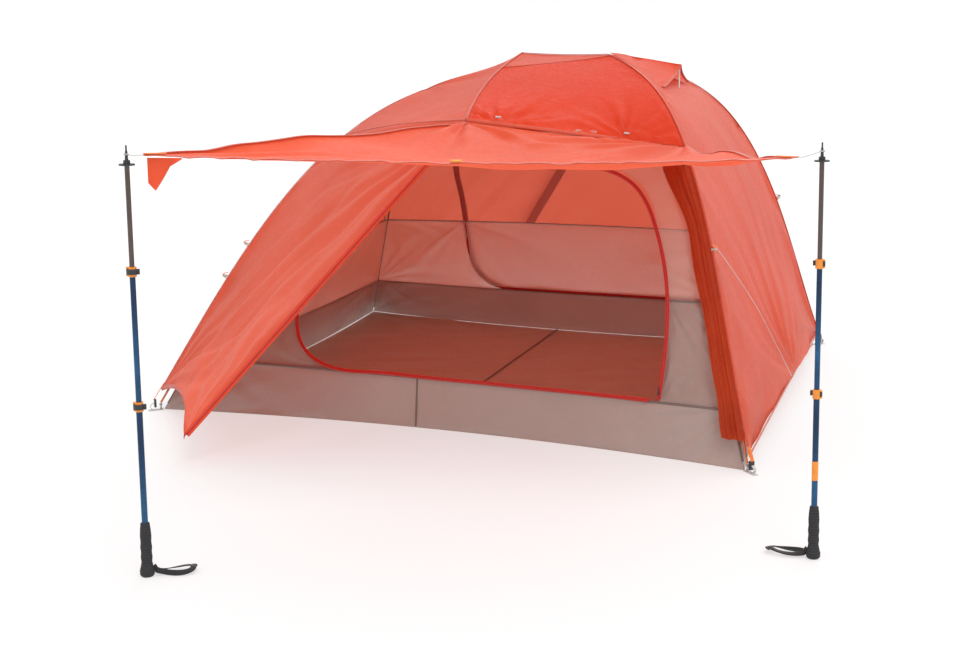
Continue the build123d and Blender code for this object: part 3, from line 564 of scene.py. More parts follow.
# a slightly darker copy of the zip tape for the far door: painted shade, not a different zip
ZIP_SHADE = fabric("far_zip_tape_painted_shade", (0.62, 0.020, 0.015), (0.50, 0.014, 0.011), thread=0.0011, through=0.0)
ZIP_ORANGE = fabric("vestibule_zip_tape", (0.74, 0.070, 0.020), (0.62, 0.045, 0.014), thread=0.0011,
                    through=0.0)
WEBBING = fabric("webbing", (0.56, 0.55, 0.52), (0.44, 0.43, 0.41), thread=0.0022, through=0.0, gloss=0.65)
ORANGE_WEB = fabric("orange_webbing", (0.80, 0.20, 0.035), (0.66, 0.14, 0.02), thread=0.0022, through=0.0,
                    gloss=0.6)
BLACK_WEB = fabric("wrist_webbing", (0.030, 0.030, 0.033), (0.018, 0.018, 0.020), thread=0.0024, through=0.0,
                   gloss=0.7)
CORD_WHITE = banded("braided_cord", (0.72, 0.70, 0.66), (0.36, 0.34, 0.32), 0.0035, gloss=0.75, axis="X")
TUBE_ORANGE = moulded("frame_tube", (0.62, 0.22, 0.09), (0.52, 0.17, 0.07), 0.28, 400, 0.00003, 1.0, 0.2,
                      (1, 1, 0.05))
BLACK = moulded("black_nylon", (0.028, 0.028, 0.031), (0.018, 0.018, 0.020), 0.45)
LOCK_ORANGE = moulded("lock_orange", (0.80, 0.27, 0.010), (0.70, 0.21, 0.008), 0.30, 700, 0.00004, 0.0, 0.4)
SLIDER = moulded("slider_enamel", (0.16, 0.02, 0.016), (0.11, 0.015, 0.012), 0.32, 600, 0.00004, 0.5, 0.3)
STEEL = moulded("brushed_steel", (0.46, 0.46, 0.47), (0.36, 0.36, 0.37), 0.30, 500, 0.00004, 1.0, 0.0,
                (1, 1, 0.04))
NAVY_TUBE = banded("upper_shaft_print", (0.012, 0.035, 0.085), (0.020, 0.105, 0.230), 0.42, gloss=0.26,
                   metallic=0.6, depth=0.0)
BROWN_TUBE = moulded("lower_shaft", (0.115, 0.088, 0.075), (0.085, 0.065, 0.057), 0.26, 380, 0.00003, 0.8,
                     0.2, (1, 1, 0.04))
FOAM = banded("grip_foam", (0.016, 0.016, 0.018), (0.030, 0.030, 0.033), 0.0085, gloss=0.8, depth=0.0009)
LABEL = fabric("care_label", (0.72, 0.70, 0.66), (0.62, 0.60, 0.56), thread=0.0012, through=0.1)


# ---------------------------------------------------------------- fly
def seam_share(u):
    return 0.22 * (1 - u) + 0.03


def roof_grid(v_low, v_high, u):
    """The roof between the ridge and the brow fold; v runs between two functions of u."""
    v = v_low(u)[:, None] + (v_high(u) - v_low(u))[:, None] * span(70)[None, :]
    return coons(head_ridge, brow_fold, fly_cross, part_of(fly_head, 0, brow_t), u, v)


def both_sides(make):
    """The panel of the near side and its mirror image, facing the same way."""
    near = make(1)
    opposite = make(2)
    opposite.grid = mirrored(opposite.grid)[::-1]
    for name in ("x", "y"):
        setattr(opposite, name, getattr(opposite, name)[::-1])
    opposite.gap = {k: g[::-1] for k, g in opposite.gap.items()}
    opposite.lift = opposite.lift[::-1]
    return near, opposite


def roof_strip(seed):
    return Panel(roof_grid(lambda u: 0 * u, seam_share, span(80))).billow(0.004, 0.12, seed).pucker(
        "v1", 0.003, 0.018, 0.03, seed + 5)


def front(seed):
    panel = Panel(roof_grid(seam_share, lambda u: 0 * u + 1, span(120)))
    panel.billow(0.006, 0.22, seed + 20).fan(0, 1, 5.5, 0.007, 0.16, seed + 21)
    panel.fan(1, 1, 6, 0.006, 0.16, seed + 22).pucker("v1", 0.007, 0.035, 0.05, seed + 23)
    panel.pucker("u1", 0.004, 0.03, 0.035, seed + 24).pucker("v0", 0.003, 0.02, 0.025, seed + 25)
    return panel.fan(0.14, 1, 6, 0.010, 0.09, seed + 26).fan(0.72, 1, 6, 0.009, 0.08, seed + 27)


def foot_roof(seed):
    panel = Panel(coons(foot_ridge, shoulder_fold, part_of(fly_foot, 0, shoulder_t), fly_cross,
                        span(110), span(110), 0.014))
    panel.billow(0.006, 0.25, seed + 30)
    panel.fan(1, 1, 6, 0.008, 0.2, seed + 31).fan(0, 0, 5, 0.006, 0.2, seed + 32)
    return panel.pucker("u1", 0.004, 0.03, 0.04, seed + 33).draw(35, 0.07, 0.005, seed + 34)


def vestibule(seed):
    panel = Panel(coons(shoulder_fold, vestibule_hem, part_of(fly_foot, shoulder_t, 1),
                        curve([BROW, ZIP_END]),
                        span(130), span(170), 0.022), sewn=("u0", "u1", "v0"))
    panel.fan(1, 0, 9, 0.014, 0.32, seed + 40).fan(1, 1, 7, 0.012, 0.28, seed + 41)
    panel.fan(0, 1, 7, 0.012, 0.26, seed + 42)
    panel.draw(112, 0.055, 0.012, seed + 43, (0.55, 0.55), 0.55).billow(0.010, 0.28, seed + 44)
    return panel.pucker("u1", 0.006, 0.04, 0.05, seed + 45).pucker("u0", 0.006, 0.05, 0.07, seed + 46)


def end_hem(line, rise):
    """The hem across an end of the fly, from the near leg's foot to the far one's."""
    low = point_at(line, 1.0)
    return curve([low, (low[0] + math.copysign(0.018, low[0]), 0, low[2] + rise), mirrored(low)])


def fly_end(line, hem_rise, sag, seed):
    tip = point_at(line, 0.0)
    top = curve([tip, mirrored(tip) + (0, 1e-6, 0)])
    panel = Panel(coons(top, end_hem(line, hem_rise), line, far(line), span(150), span(150), sag),
                  sewn=("u0", "u1"), flip=line is fly_head)
    panel.fan(0, 1, 7, 0.012, 0.25, seed).fan(1, 1, 7, 0.012, 0.25, seed + 1).billow(0.009, 0.3, seed + 2)
    panel.fan(0.5, 1, 8, 0.009, 0.18, seed + 3).draw(70, 0.08, 0.006, seed + 4, (0.3, 0.6), 0.5)
    panel.draw(110, 0.08, 0.006, seed + 5, (0.7, 0.6), 0.5)
    return panel.pucker("u0", 0.005, 0.04, 0.05, seed + 6).pucker("u1", 0.005, 0.04, 0.05, seed + 7)


def rear_door(seed):
    side = curve([HINGE[1], outset(point_at(fly_head, (brow_t + 1) / 2), 0.014), DOOR_LOW_HEAD])
    panel = Panel(coons(curve(HINGE), door_hem, curve([HINGE[0], DOOR_TIP]), side,
                        span(150, 0.014, 0.982), span(140), -0.012), sewn=("v0",))
    panel.fan(0, 0, 8, 0.014, 0.3, seed).fan(0, 1, 7, 0.013, 0.3,
                                             seed + 1).fan(1, 1, 7, 0.012, 0.28, seed + 2)
    panel.billow(0.010, 0.3, seed + 3).draw(60, 0.06, 0.008, seed + 4, (0.5, 0.5), 0.6)
    return panel.pucker("v0", 0.006, 0.035, 0.05, seed + 5)


def awning_grid(u, v):
    lead = curve([AWNING_FOOT, (AWNING_FOOT + AWNING_HEAD) * 0.5 + (-0.030, 0.078, -0.006), AWNING_HEAD])
    grid = coons(curve(HINGE), lead, curve([HINGE[0], AWNING_FOOT]), curve([HINGE[1], AWNING_HEAD]), u, v)
    sink = np.sin(np.pi * u[:, None]) ** 0.8 * np.sin(np.pi * np.minimum(v[None, :] * 0.9, 1))
    grid[..., 2] -= AWNING_SAG * sink
    return grid


def build_fly():
    near, opposite = both_sides(roof_strip)
    cloth("roof_strips", [near, opposite], CORAL, "root", ["fly_roof"])
    near, opposite = both_sides(front)
    cloth("front_panel", [near], CORAL_DEEP, "root", ["fly_front"])
    cloth("rear_panel", [opposite], CORAL_DEEP, "root", ["fly_rear"])
    cloth("foot_roof_panels", both_sides(foot_roof), CORAL, "root", ["fly_foot_roof"])
    near, opposite = both_sides(vestibule)
    cloth("near_vestibule", [near], CORAL, "root", ["near_vestibule_panel"])
    cloth("far_vestibule", [opposite], CORAL, "root", ["far_vestibule_panel"])
    cloth("foot_end_panel", [fly_end(fly_foot, FOOT_HEM_RISE, 0.025, 70)], CORAL, "root",
          ["fly_foot_end"])
    cloth("head_end_panel", [fly_end(fly_head, HEAD_HEM_RISE, 0.018, 90)], CORAL, "root",
          ["fly_head_end"])
    door = rear_door(110)
    door.grid = mirrored(door.grid)
    cloth("far_door_panel", [door], CORAL, "far_vestibule_door", ["far_vestibule_door"])
    build_gather()
    build_hood()


def build_gather():
    """The door's head-side edge, bunched into long uneven folds beside the head leg."""
    t, w = span(280), span(64)
    outer = part_of(fly_head, brow_t + 0.045, 0.975)(t)
    width = 0.056 + 0.023 * np.sin(np.pi * t * 0.8) + 0.020 * smooth((t - 0.84) / 0.16)
    width = width + 0.050 * (1 - smooth(t / 0.30))
    width = width[:, None] * (1 + 0.08 * noise1(t * 5, 4)[:, None])
    phase = 1.3 * noise1(t * 2.5, 5)[:, None] + 2.2 * t[:, None]
    turn = w[None, :] * 2 * np.pi
    folds = 0.0065 * np.sin(turn * 2.1 + phase) + 0.0035 * np.sin(turn * 4.7 - phase)
    folds = folds * (0.75 + 0.5 * noise2(t[:, None] * 7, w[None, :] * 3, 6))
    folds = folds + 0.002 * noise2(t[:, None] * 30, w[None, :] * 9, 7)
    grid = outer[:, None, :] + np.array((-0.004, -0.001, 0))
    grid = grid + np.stack([-width * w, -0.006 * np.sin(np.pi * w) + 0.006 * w + 0 * width, 0 * width * w],
                           -1)
    grid[..., 1] += folds * np.sin(np.pi * w) ** 0.5
    panel = Panel(grid, sewn=())
    # the gathered edge is coloured with the darker coral, which is painted shade
    cloth("gathered_door_edge", [panel], CORAL_FOLD_SHADE, "root", ["head_gather"])


def build_hood():
    tip, near = np.array((0.705, 0, 1.408)), np.array((0.690, -0.262, 1.322))
    hub = np.array(HEAD_HUB)
    crest = curve([hub + (0.012, 0, 0.004), (0.550, 0, 1.431), tip])
    side = curve([hub + (0.012, -0.004, 0.002), (0.545, -0.150, 1.397), near])
    t = span(60)
    w = span(80, -1, 1)[None, :, None]
    middle, edge = crest(t)[:, None, :], side(t)[:, None, :]
    base = edge * (1 - w) / 2 + mirrored(edge) * (1 + w) / 2
    grid = base + (middle - base) * (1 - np.abs(w) ** 1.4) + (0, 0, 0.005)
    panel = Panel(grid, sewn=("v0", "v1", "u0")).billow(0.004, 0.06, 131)
    panel.pucker("v0", 0.003, 0.02, 0.03, 132).pucker("v1", 0.003, 0.02, 0.03, 133)
    cloth("vent_hood_cloth", [panel], CORAL, "root", ["vent_hood"])
    brim = grid[-1]
    strip("vent_hood_brim", [(brim, facing((0.2, 0, 1.0), len(brim)), 0.014, 0.0022)], CORAL_EDGE,
          "root")


def build_awning():
    panel = Panel(awning_grid(span(170), span(150)), sewn=("v0",))
    panel.fan(0, 1, 8, 0.014, 0.30, 140).fan(1, 1, 8, 0.014, 0.30, 141).fan(0, 0, 7, 0.012, 0.2, 142)
    panel.fan(1, 0, 7, 0.012, 0.2, 143).draw(88, 0.09, 0.010, 144, (0.5, 0.35), 0.7).billow(0.012, 0.3, 145)
    panel.lift *= 0.22 + 0.78 * smooth(panel.gap["v1"] / 0.30)
    panel.pucker("v1", 0.003, 0.03, 0.03, 146).pucker("v0", 0.006, 0.035, 0.05, 147)
    cloth("awning_cloth", [panel], CORAL_AWNING, "awning", ["awning"])
    p = panel.points()
    bands = []
    for line, width in ((p[:, -1], 0.030), (p[0], 0.016), (p[-1], 0.016)):
        bands.append((line, facing(UP, len(line)), width, 0.0022))
    strip("awning_hems", bands, CORAL_EDGE, "awning")


# ---------------------------------------------------------------- inner tent
def wall_panel(z_low, z_high, x_left, x_right, count_x=60, count_z=50, sewn=("u0", "u1", "v0", "v1")):
    z = span(count_z, z_low, z_high)
    low, high = x_left(z), x_right(z)
    x = low + (high - low) * span(count_x)[:, None]
    return Panel(side_wall(x, z[None, :]), sewn)


def end_panel(line, z_low, z_high, count_y=90, count_z=50):
    """An end wall between the near and far legs, bowed inwards at its foot."""
    z = span(count_z, z_low, z_high)
    x, y = at_height(line, z)
    w = span(count_y, -1, 1)[:, None]
    bow = -np.copysign(FLOOR_BOW_END * np.maximum(0, 1 - z / 0.5), x)
    grid = np.stack([x + bow * np.cos(np.pi * w / 2), (-y - SEAM_GAP) * w, z + 0 * w], -1)
    return Panel(grid)


def mirror_panel(panel):
    panel.grid = mirrored(panel.grid)
    return panel


def tense(panel, seed, height=0.006):
    """Light folds that run in from the corners of a hung wall."""
    panel.fan(0, 1, 7, height, 0.18, seed).fan(1, 1, 7, height, 0.18, seed + 1)
    panel.fan(0, 0, 6, height, 0.15, seed + 2).fan(1, 0, 6, height, 0.15, seed + 3)
    return panel.billow(height, 0.2, seed + 4)


def build_inner():
    low, high = TUB_HEIGHT + SEAM_GAP, DOOR_TOP - 0.012
    solid, net = [], []
    for side in (-1, 1):
        for piece, (left, right) in enumerate(((foot_edge, lambda z: foot_side(z, side) - 0.002),
                                               (lambda z: door_right(z) + 0.002, head_edge))):
            seed = 200 + 20 * piece + 5 * side
            pair = (tense(wall_panel(low, SOLID_WALL_TOP, left, right), seed),
                    tense(wall_panel(SOLID_WALL_TOP, high, left, right), seed + 9, 0.003))
            for panel in pair:
                panel.lift -= 0.009 * np.exp(-panel.gap["u1" if piece == 0 else "u0"] / 0.05)
                panel.sewn = ("v0", "v1", "u0" if piece == 0 else "u1")
            solid.append(pair[0] if side < 0 else mirror_panel(pair[0]))
            net.append(pair[1] if side < 0 else mirror_panel(pair[1]))
        above = wall_panel(DOOR_TOP + 0.002, WALL_TOP, foot_edge, head_edge, 110, 12)
        net.append(above if side < 0 else mirror_panel(above))
    # the near solid walls take the darker wall colour, which is painted shade
    cloth("near_wall_solid", solid[:2], SHADED_WALL, "root")
    cloth("far_wall_solid", solid[2:], SOLID_WALL, "root")
    cloth("near_wall_net", net[:3], NET, "root", ["near_wall"])
    cloth("far_wall_net", net[3:], NET, "root", ["far_wall"])

    inner = (lambda z: foot_side(z, 1) + 0.002, lambda z: door_right(z) - 0.002)
    door = mirror_panel(tense(wall_panel(DOOR_SILL + 0.010, SOLID_WALL_TOP, *inner, 110, 40), 260))
    cloth("far_door_solid", [door], SOLID_WALL, "root")
    door = mirror_panel(tense(wall_panel(SOLID_WALL_TOP, high, *inner, 110, 50), 270, 0.003))
    cloth("far_door_net", [door], NET, "root", ["far_door"])

    for name, line, top, node_name in (("foot", inner_foot, 1.150, "foot_wall"),
                                       ("head", inner_head, 1.300, "head_wall")):
        cloth(name + "_wall_solid", [tense(end_panel(line, low, SOLID_WALL_TOP), 280)], SOLID_WALL, "root")
        cloth(name + "_wall_net", [tense(end_panel(line, SOLID_WALL_TOP, top), 290, 0.003)], NET, "root",
              [node_name])
    build_inner_roof()
    build_floor()
    build_inner_trim()


def build_inner_roof():
    z = WALL_TOP + SEAM_GAP
    low, high = foot_edge(np.array([z])), head_edge(np.array([z]))
    ridge = curve([outset(FOOT_HUB, -INNER_INSET), (-0.215, 0, 1.290), (0, 0, 1.362),
                   outset(HEAD_HUB, -INNER_INSET)])
    u, w = span(110), span(110, -1, 1)
    edge = side_wall(low + (high - low) * u, z)[:, None, :]
    top = ridge(u)[:, None, :]
    rise = (1 - np.abs(w) ** 1.12)[None, :]
    grid = np.stack([edge[..., 0] + (top - edge)[..., 0] * rise, -edge[..., 1] * w[None, :],
                     edge[..., 2] + (top - edge)[..., 2] * rise], -1)
    cloth("inner_roof_net", [Panel(grid).billow(0.005, 0.2, 300)], NET, "root", ["inner_roof"])


def build_floor():
    def edge(*corners_and_middle):
        a, b, m = (np.array((*p, GROUND_GAP)) for p in corners_and_middle)
        bow = (m - (a + b) / 2)
        return lambda t: a + (b - a) * np.asarray(t)[..., None] + bow * (4 * t * (1 - t))[..., None]
    x, y = FLOOR_HALF_X, FLOOR_HALF_Y
    near = edge((-x, -y), (x, -y), (0, FLOOR_BOW_SIDE - y))
    beyond = edge((-x, y), (x, y), (0, y - FLOOR_BOW_SIDE))
    left = edge((-x, -y), (-x, y), (FLOOR_BOW_END - x, 0))
    right = edge((x, -y), (x, y), (x - FLOOR_BOW_END, 0))
    panel = Panel(coons(near, beyond, left, right, span(170), span(150)))
    panel.billow(0.004, 0.22, 310).draw(20, 0.12, 0.004, 311).draw(80, 0.15, 0.003, 312)
    for k, (u, v) in enumerate(((0, 0), (1, 0), (0, 1), (1, 1))):
        panel.fan(u, v, 9, 0.006, 0.22, 313 + k)
    panel.lift = np.abs(panel.lift)
    cloth("floor_cloth", [panel], FLOOR_CLOTH, "root", ["inner_floor"], floor_z=GROUND_GAP)
    low, high = 0.0022, TUB_HEIGHT
    walls = [wall_panel(low, high, foot_edge, head_edge, 190, 26) for _ in range(2)]
    walls += [end_panel(line, low, high, 150, 26) for line in (inner_foot, inner_head)]
    for k, wall in enumerate(walls):
        seed = 330 + 10 * k
        tense(wall, seed, 0.007).draw(20, 0.05, 0.004, seed + 5, (0.15, 0.5), 0.35)
        wall.draw(-20, 0.05, 0.004, seed + 6, (0.85, 0.5), 0.35).pucker("v0", 0.004, 0.04, 0.03, seed + 7)
    mirror_panel(walls[1])
    cloth("tub_wall_cloth", walls, TUB, "root", ["tub_walls"], hold=0.02, floor_z=0.0008)


def wall_line_at(z, side, x_low=None, x_high=None, count=90):
    """A level line on a side wall, with its outward directions."""
    low = foot_edge(z) if x_low is None else x_low
    high = head_edge(z) if x_high is None else x_high
    p = on_side(side_wall(span(count, low, high), z), side)
    return p + (0, 0.002 * side, 0), facing((0, side, 0.15), count)


def end_line_at(line, z, count=70):
    panel = end_panel(line, z, z + 0.001, count, 2)
    p = panel.grid[:, 0]
    out = math.copysign(1, p[0, 0])
    return p + (0.002 * out, 0, 0), facing((out, 0, 0.15), count)


def build_inner_trim():
    bands = []
    for z in (TUB_HEIGHT, SOLID_WALL_TOP):
        for line in (inner_foot, inner_head):
            bands.append((*end_line_at(line, z), *LEDGE_BAND))
    for side in (-1, 1):
        bands.append((*wall_line_at(TUB_HEIGHT, side, count=140), *LEDGE_BAND))
        door_foot = DOOR_HEAD_X - (DOOR_HEAD_X - DOOR_FOOT_X) * (1.0 if side < 0 else FAR_DOOR_SHARE)
        bands.append((*wall_line_at(SOLID_WALL_TOP, side, None, door_foot), *SEAM_BAND))
        bands.append((*wall_line_at(SOLID_WALL_TOP, side, DOOR_HEAD_X), *SEAM_BAND))
        for line in (inner_foot, inner_head):
            edge = on_side(line(span(80, 0.12, 0.985)), side)
            bands.append((edge, edge - CORE, 0.011, 0.0018))
    bands.append((*wall_line_at(SOLID_WALL_TOP, 1, DOOR_FOOT_X, DOOR_HEAD_X), *SEAM_BAND))
    tub_seam = side_wall(0 * span(12) - 0.12, span(12, 0.006, TUB_HEIGHT)) + (0, -0.0025, 0)
    bands.append((tub_seam, facing((0, -1.0, 0.1), 12), *SEAM_BAND))
    middle = np.stack([0 * span(60) - 0.10, span(60, -0.955, 0.955), 0 * span(60) + 0.006], -1)
    bands.append((middle, facing(UP, 60), 0.010, 0.0018))
    strip("inner_seams", bands, SEAM_GREY, "root")

    for name, side in (("near", -1), ("far", 1)):
        shrink = 1.0 if side < 0 else FAR_DOOR_SHARE
        track = np.array([side_wall(DOOR_HEAD_X - (DOOR_HEAD_X - x) * shrink, z) for x, z in DOOR_TRACK])
        lines = (curve(track + (0, -0.010, 0))(span(420)), facing((0, -1.0, 0.22), 420),
                 curve(track + (0, -0.0145, 0))(span(420)))
        loop, out, coil = (on_side(p, side) for p in lines)
        width, thick = (0.015, 0.0030) if side < 0 else (0.032, 0.0050)
        strip(name + "_door_zip_tape", [(loop, out, width, 0.0022)], ZIP_TAPE if side < 0 else ZIP_SHADE,
              "root",
              ["door_zips"] if side < 0 else ())
        tube(name + "_door_zip_coil", [(coil, thick)], ZIP_RED, "root", sides=8)
    build_stowed_door()
    build_pocket()


def build_stowed_door():
    """The near door, rolled up at the foot side of its opening and tied in two places."""
    z = span(90, 0.330, 0.900)
    centre = side_wall(door_left(z) - 0.070, z) + (0, 0.062, 0)
    first, second = (0.30 * np.exp(-((z - tie) / 0.02) ** 2) for tie in ROLL_TIES)
    waist = 1 - first - second
    turn = span(64, 0, 2 * np.pi)[:, None]
    radius = 0.029 * waist[None, :] * (1 + 0.10 * noise2(turn * 3, z[None, :] * 14, 401))
    radius = radius * (1 + 0.06 * np.sin(5 * turn + 8 * z[None, :]))
    radius[-1] = radius[0]
    grid = centre[None] + np.stack([np.cos(turn) * radius, np.sin(turn) * radius, 0 * radius], -1)
    cloth("stowed_door_roll", [Panel(grid, sewn=())], SOLID_WALL, "root", ["near_door_rolled"])
    ties = []
    for height in ROLL_TIES:
        i = np.abs(z - height).argmin()
        a = span(40, 0, 2 * np.pi)
        ring = centre[i] + circle(a) * 0.0225
        ties.append((ring, ring - centre[i], 0.008, 0.0016))
    strip("stowed_door_ties", ties, SEAM_GREY, "root")


def build_pocket():
    panel = wall_panel(0.040, 0.190, lambda z: 0.905 + 0 * z, lambda z: 1.085 + 0 * z, 50, 40,
                       sewn=("u0", "u1", "v0"))
    panel.grid = panel.grid + (0, 0.014, 0)
    panel.lift -= 0.010 * np.exp(-panel.gap["v1"] / 0.05) * np.sin(np.pi * span(50))[:, None]
    cloth("gear_pocket", [panel.billow(0.004, 0.05, 420)], SOLID_WALL, "root", ["corner_pocket"])
    rim = panel.points()[:, -1]
    strip("gear_pocket_binding", [(rim, facing((0, 1.0, 0), 50), 0.010, 0.0018)], SEAM_GREY, "root")


# ---------------------------------------------------------------- fly trim
def build_fly_trim():
    seams, hems = [], []
    front_seam = roof_grid(lambda u: 0 * u, seam_share, span(90))[:, -1]
    for side in (-1, 1):
        for line, count, end in ((fly_foot, 150, 1), (fly_head, 170, 1), (fly_cross, 100, 0.99)):
            p = on_side(line(span(count, 0.0, end)), side)
            seams.append((outset(p, 0.0015), p - CORE, 0.009, 0.0020))
        for p in (on_side(front_seam, side), on_side(shoulder_fold(span(90)), side)):
            seams.append((outset(p, 0.001), p - CORE, 0.006, 0.0014))
        p = on_side(vestibule_hem(span(110)), side)
        hems.append((p, p - CORE, *HEM_BAND))
        p = on_side(brow_fold(span(90)), side)
        hems.append((outset(p, 0.002), p - CORE, 0.016, 0.003))
    for line, rise in ((fly_foot, FOOT_HEM_RISE), (fly_head, HEAD_HEM_RISE)):
        p = end_hem(line, rise)(span(120))
        hems.append((p, p - CORE, *HEM_BAND))
    for p in (foot_ridge(span(60)), head_ridge(span(50))):
        seams.append((p + (0, 0, 0.0015), facing(UP, len(p)), 0.012, 0.0022))
    strip("fly_seams", seams, CORAL_EDGE, "root")
    strip("fly_hems", hems, CORAL_EDGE, "root")
    p = mirrored(door_hem(span(140)))
    strip("far_door_hem", [(p, p - CORE, *HEM_BAND)], CORAL_EDGE, "far_vestibule_door")

    run = unit(ZIP_END - BROW)
    outward = np.array((0.35, -0.8, 0.5))
    out = unit(outward - run * (outward @ run))
    line = BROW + run * 0.060 + (ZIP_END - run * 0.012 - BROW - run * 0.060) * span(160)[:, None]
    for name, side in (("near", -1), ("far", 1)):
        lines = line + out * 0.0035, line + out * 0.0062, facing(out, 160)
        tape, coil, up = (on_side(p, side) for p in lines)
        strip(name + "_vestibule_zip_tape", [(tape, up, 0.026, 0.0020)], ZIP_ORANGE, "root",
              ["vestibule_zips"] if side < 0 else ())
        tube(name + "_vestibule_zip_coil", [(coil, 0.0036)], ZIP_RED, "root", sides=8)
    flap = mirrored(line - out * 0.004)
    flap_up = facing(mirrored(out), 160)
    strip("far_vestibule_storm_flap", [(flap, flap_up, 0.085, 0.0016)], CORAL_EDGE, "root")
    build_corner_webbing()


def build_corner_webbing():
    """Orange straps from the fly's corners to their buckles, and the tabs on the leg seams."""
    straps, tails, tabs = [], [], []
    for sx in (-1, 1):
        leg = fly_foot if sx < 0 else fly_head
        for sy in (-1, 1):
            low = point_at(leg, 0.985) * (1, -sy, 1)
            out = np.array((sx * 0.74, sy * 0.67, 0))
            buckle = np.array((sx * (FLOOR_HALF_X + 0.027), sy * (FLOOR_HALF_Y + 0.025), 0.030))
            path = curve([low + out * 0.004, (low + buckle) / 2 + out * 0.010,
                          buckle + (0, 0, 0.015) + out * 0.005])
            straps.append((path(span(24)), facing(out, 24), 0.015, 0.0018))
            tail = curve([buckle + out * 0.006, buckle + out * 0.020 - (0, 0, 0.012),
                          np.array((sx * (FLOOR_HALF_X + 0.036), sy * (FLOOR_HALF_Y + 0.033), 0.004))])
            tails.append((tail(span(24)), facing(out + (0, 0, 0.4), 24), 0.013, 0.0016))
    for line, shares in ((fly_foot, (0.61, 0.70)), (fly_head, (GUY_SHARE,))):
        for share in shares:
            for sy in (-1, 1):
                p = point_at(line, share) * (1, -sy, 1)
                out = unit(p - CORE)
                path = curve([p + out * 0.001 + (0, 0, 0.016), p + out * 0.024 + (0, 0, 0.004),
                              p + out * 0.001 - (0, 0, 0.014)])
                tabs.append((path(span(24)), facing(UP, 24) + out * 0.3, 0.012, 0.0016))
    strip("fly_corner_straps", straps, ORANGE_WEB, "root")
    strip("buckle_tails", tails, WEBBING, "root")
    strip("guy_tabs", tabs, ORANGE_WEB, "root")
    tag = FLOOR_HALF_X + 0.004
    grid = np.stack(np.broadcast_arrays(tag + 0.006 * span(12)[None, :], -0.90 + 0.034 * span(10)[:, None],
                                        0.118 - 0.045 * span(12)[None, :]), -1)
    cloth("care_label", [Panel(grid, sewn=())], LABEL, "root")


def build_awning_trim():
    lead = unit(AWNING_HEAD - AWNING_FOOT)
    start = AWNING_FOOT + lead * 0.006 - (0, 0, 0.008)
    u, v = span(40), span(36)
    depth = np.interp(u, (0, 0.22, 0.42, 0.65, 1.0), (0.070, 0.092, 0.062, 0.024, 0.004))
    side = unit(np.cross(lead, (0, 0, 1.0)))
    wave = 0.006 * np.sin(u * 9)[:, None] * v[None, :]
    grid = start + lead * (0.096 * u)[:, None, None] * np.ones((1, 36, 1)) - np.array((0, 0, 1.0)) * (
        depth[:, None] * v[None, :])[..., None] + side * wave[..., None]
    cloth("awning_corner_flap_cloth", [Panel(grid, sewn=())], CORAL_AWNING, "awning",
          ["awning_corner_flap"])
    loops = []
    for corner, other in ((AWNING_FOOT, AWNING_HEAD), (AWNING_HEAD, AWNING_FOOT)):
        inward = unit(unit(other - corner) + unit((HINGE[0] + HINGE[1]) / 2 - corner))
        path = corner + inward * span(24, -0.002, 0.060)[:, None] + (0, 0, 0.002)
        loops.append((path, facing(UP, 24), 0.020, 0.003))
    strip("awning_corner_webbing", loops, ORANGE_WEB, "awning")


# ---------------------------------------------------------------- cords and straps
POLE_FEET = {"left": np.array((-0.280, -2.660, 0.0)), "right": np.array((1.540, -1.860, 0.0006))}
POLE_TOPS = {"left": np.array((-0.280, -2.660, 1.253)), "right": np.array((1.501, -1.851, 1.253))}
TIE_HEIGHT = 1.226
STRAP_TURN = {"left": 32.0, "right": 176.0}


def cord_curve(name, points, radius, mat):
    """A smooth cord with the route's points as its control points."""
    data = bpy.data.curves.new(name, "CURVE")
    data.dimensions = "3D"
    data.bevel_depth, data.bevel_resolution, data.resolution_u = radius, 3, 8
    data.use_fill_caps = True
    spline = data.splines.new("NURBS")
    spline.points.add(len(points) - 1)
    for point, place in zip(spline.points, points):
        point.co = (*place, 1)
    spline.order_u = 3
    spline.use_endpoint_u = True
    data.materials.append(mat)
    obj = bpy.data.objects.new(name, data)
    bpy.context.scene.collection.objects.link(obj)
    return obj


def build_cords():
    guy_start = outset(point_at(fly_head, GUY_SHARE), 0.024)
    guy_end = np.array((1.258, -0.330, 0.176))
    route = [guy_start + (0.008, 0.006, -0.006), (guy_start * 2 + guy_end) / 3 + (0.034, 0, 0),
             (guy_start + guy_end * 2) / 3 + (0.030, 0, -0.006), guy_end + (0.014, 0, 0.004)]
    guy = finish_piece(cord_curve("head_guyline_cord", route, 0.00125, CORD_WHITE), "root",
                       ["head_guyline"])
    for side, corner in (("left", AWNING_FOOT), ("right", AWNING_HEAD)):
        axis = unit(POLE_TOPS[side] - POLE_FEET[side])
        top = POLE_FEET[side] + axis * TIE_HEIGHT
        run = unit(np.array((corner[0] - top[0], corner[1] - top[1], 0)))
        start, end = top + run * 0.0062, corner - run * 0.006 + (0, 0, 0.001)
        route = [start, (start + end) / 2 - (0, 0, 0.003), end]
        tie = finish_piece(cord_curve(side + "_awning_cord", route, 0.0012, CORD_WHITE), side + "_lower",
                           [f"{side}_pole_awning_tie"])
        a = span(48, 0, 4 * np.pi)
        ring = top + circle(a) * 0.0066 + np.stack([0 * a, 0 * a, a * 0.0003], -1)
        tube(side + "_tie_wrap", [(ring, 0.0012)], CORD_WHITE, side + "_lower", sides=8)
    build_wrist_straps()


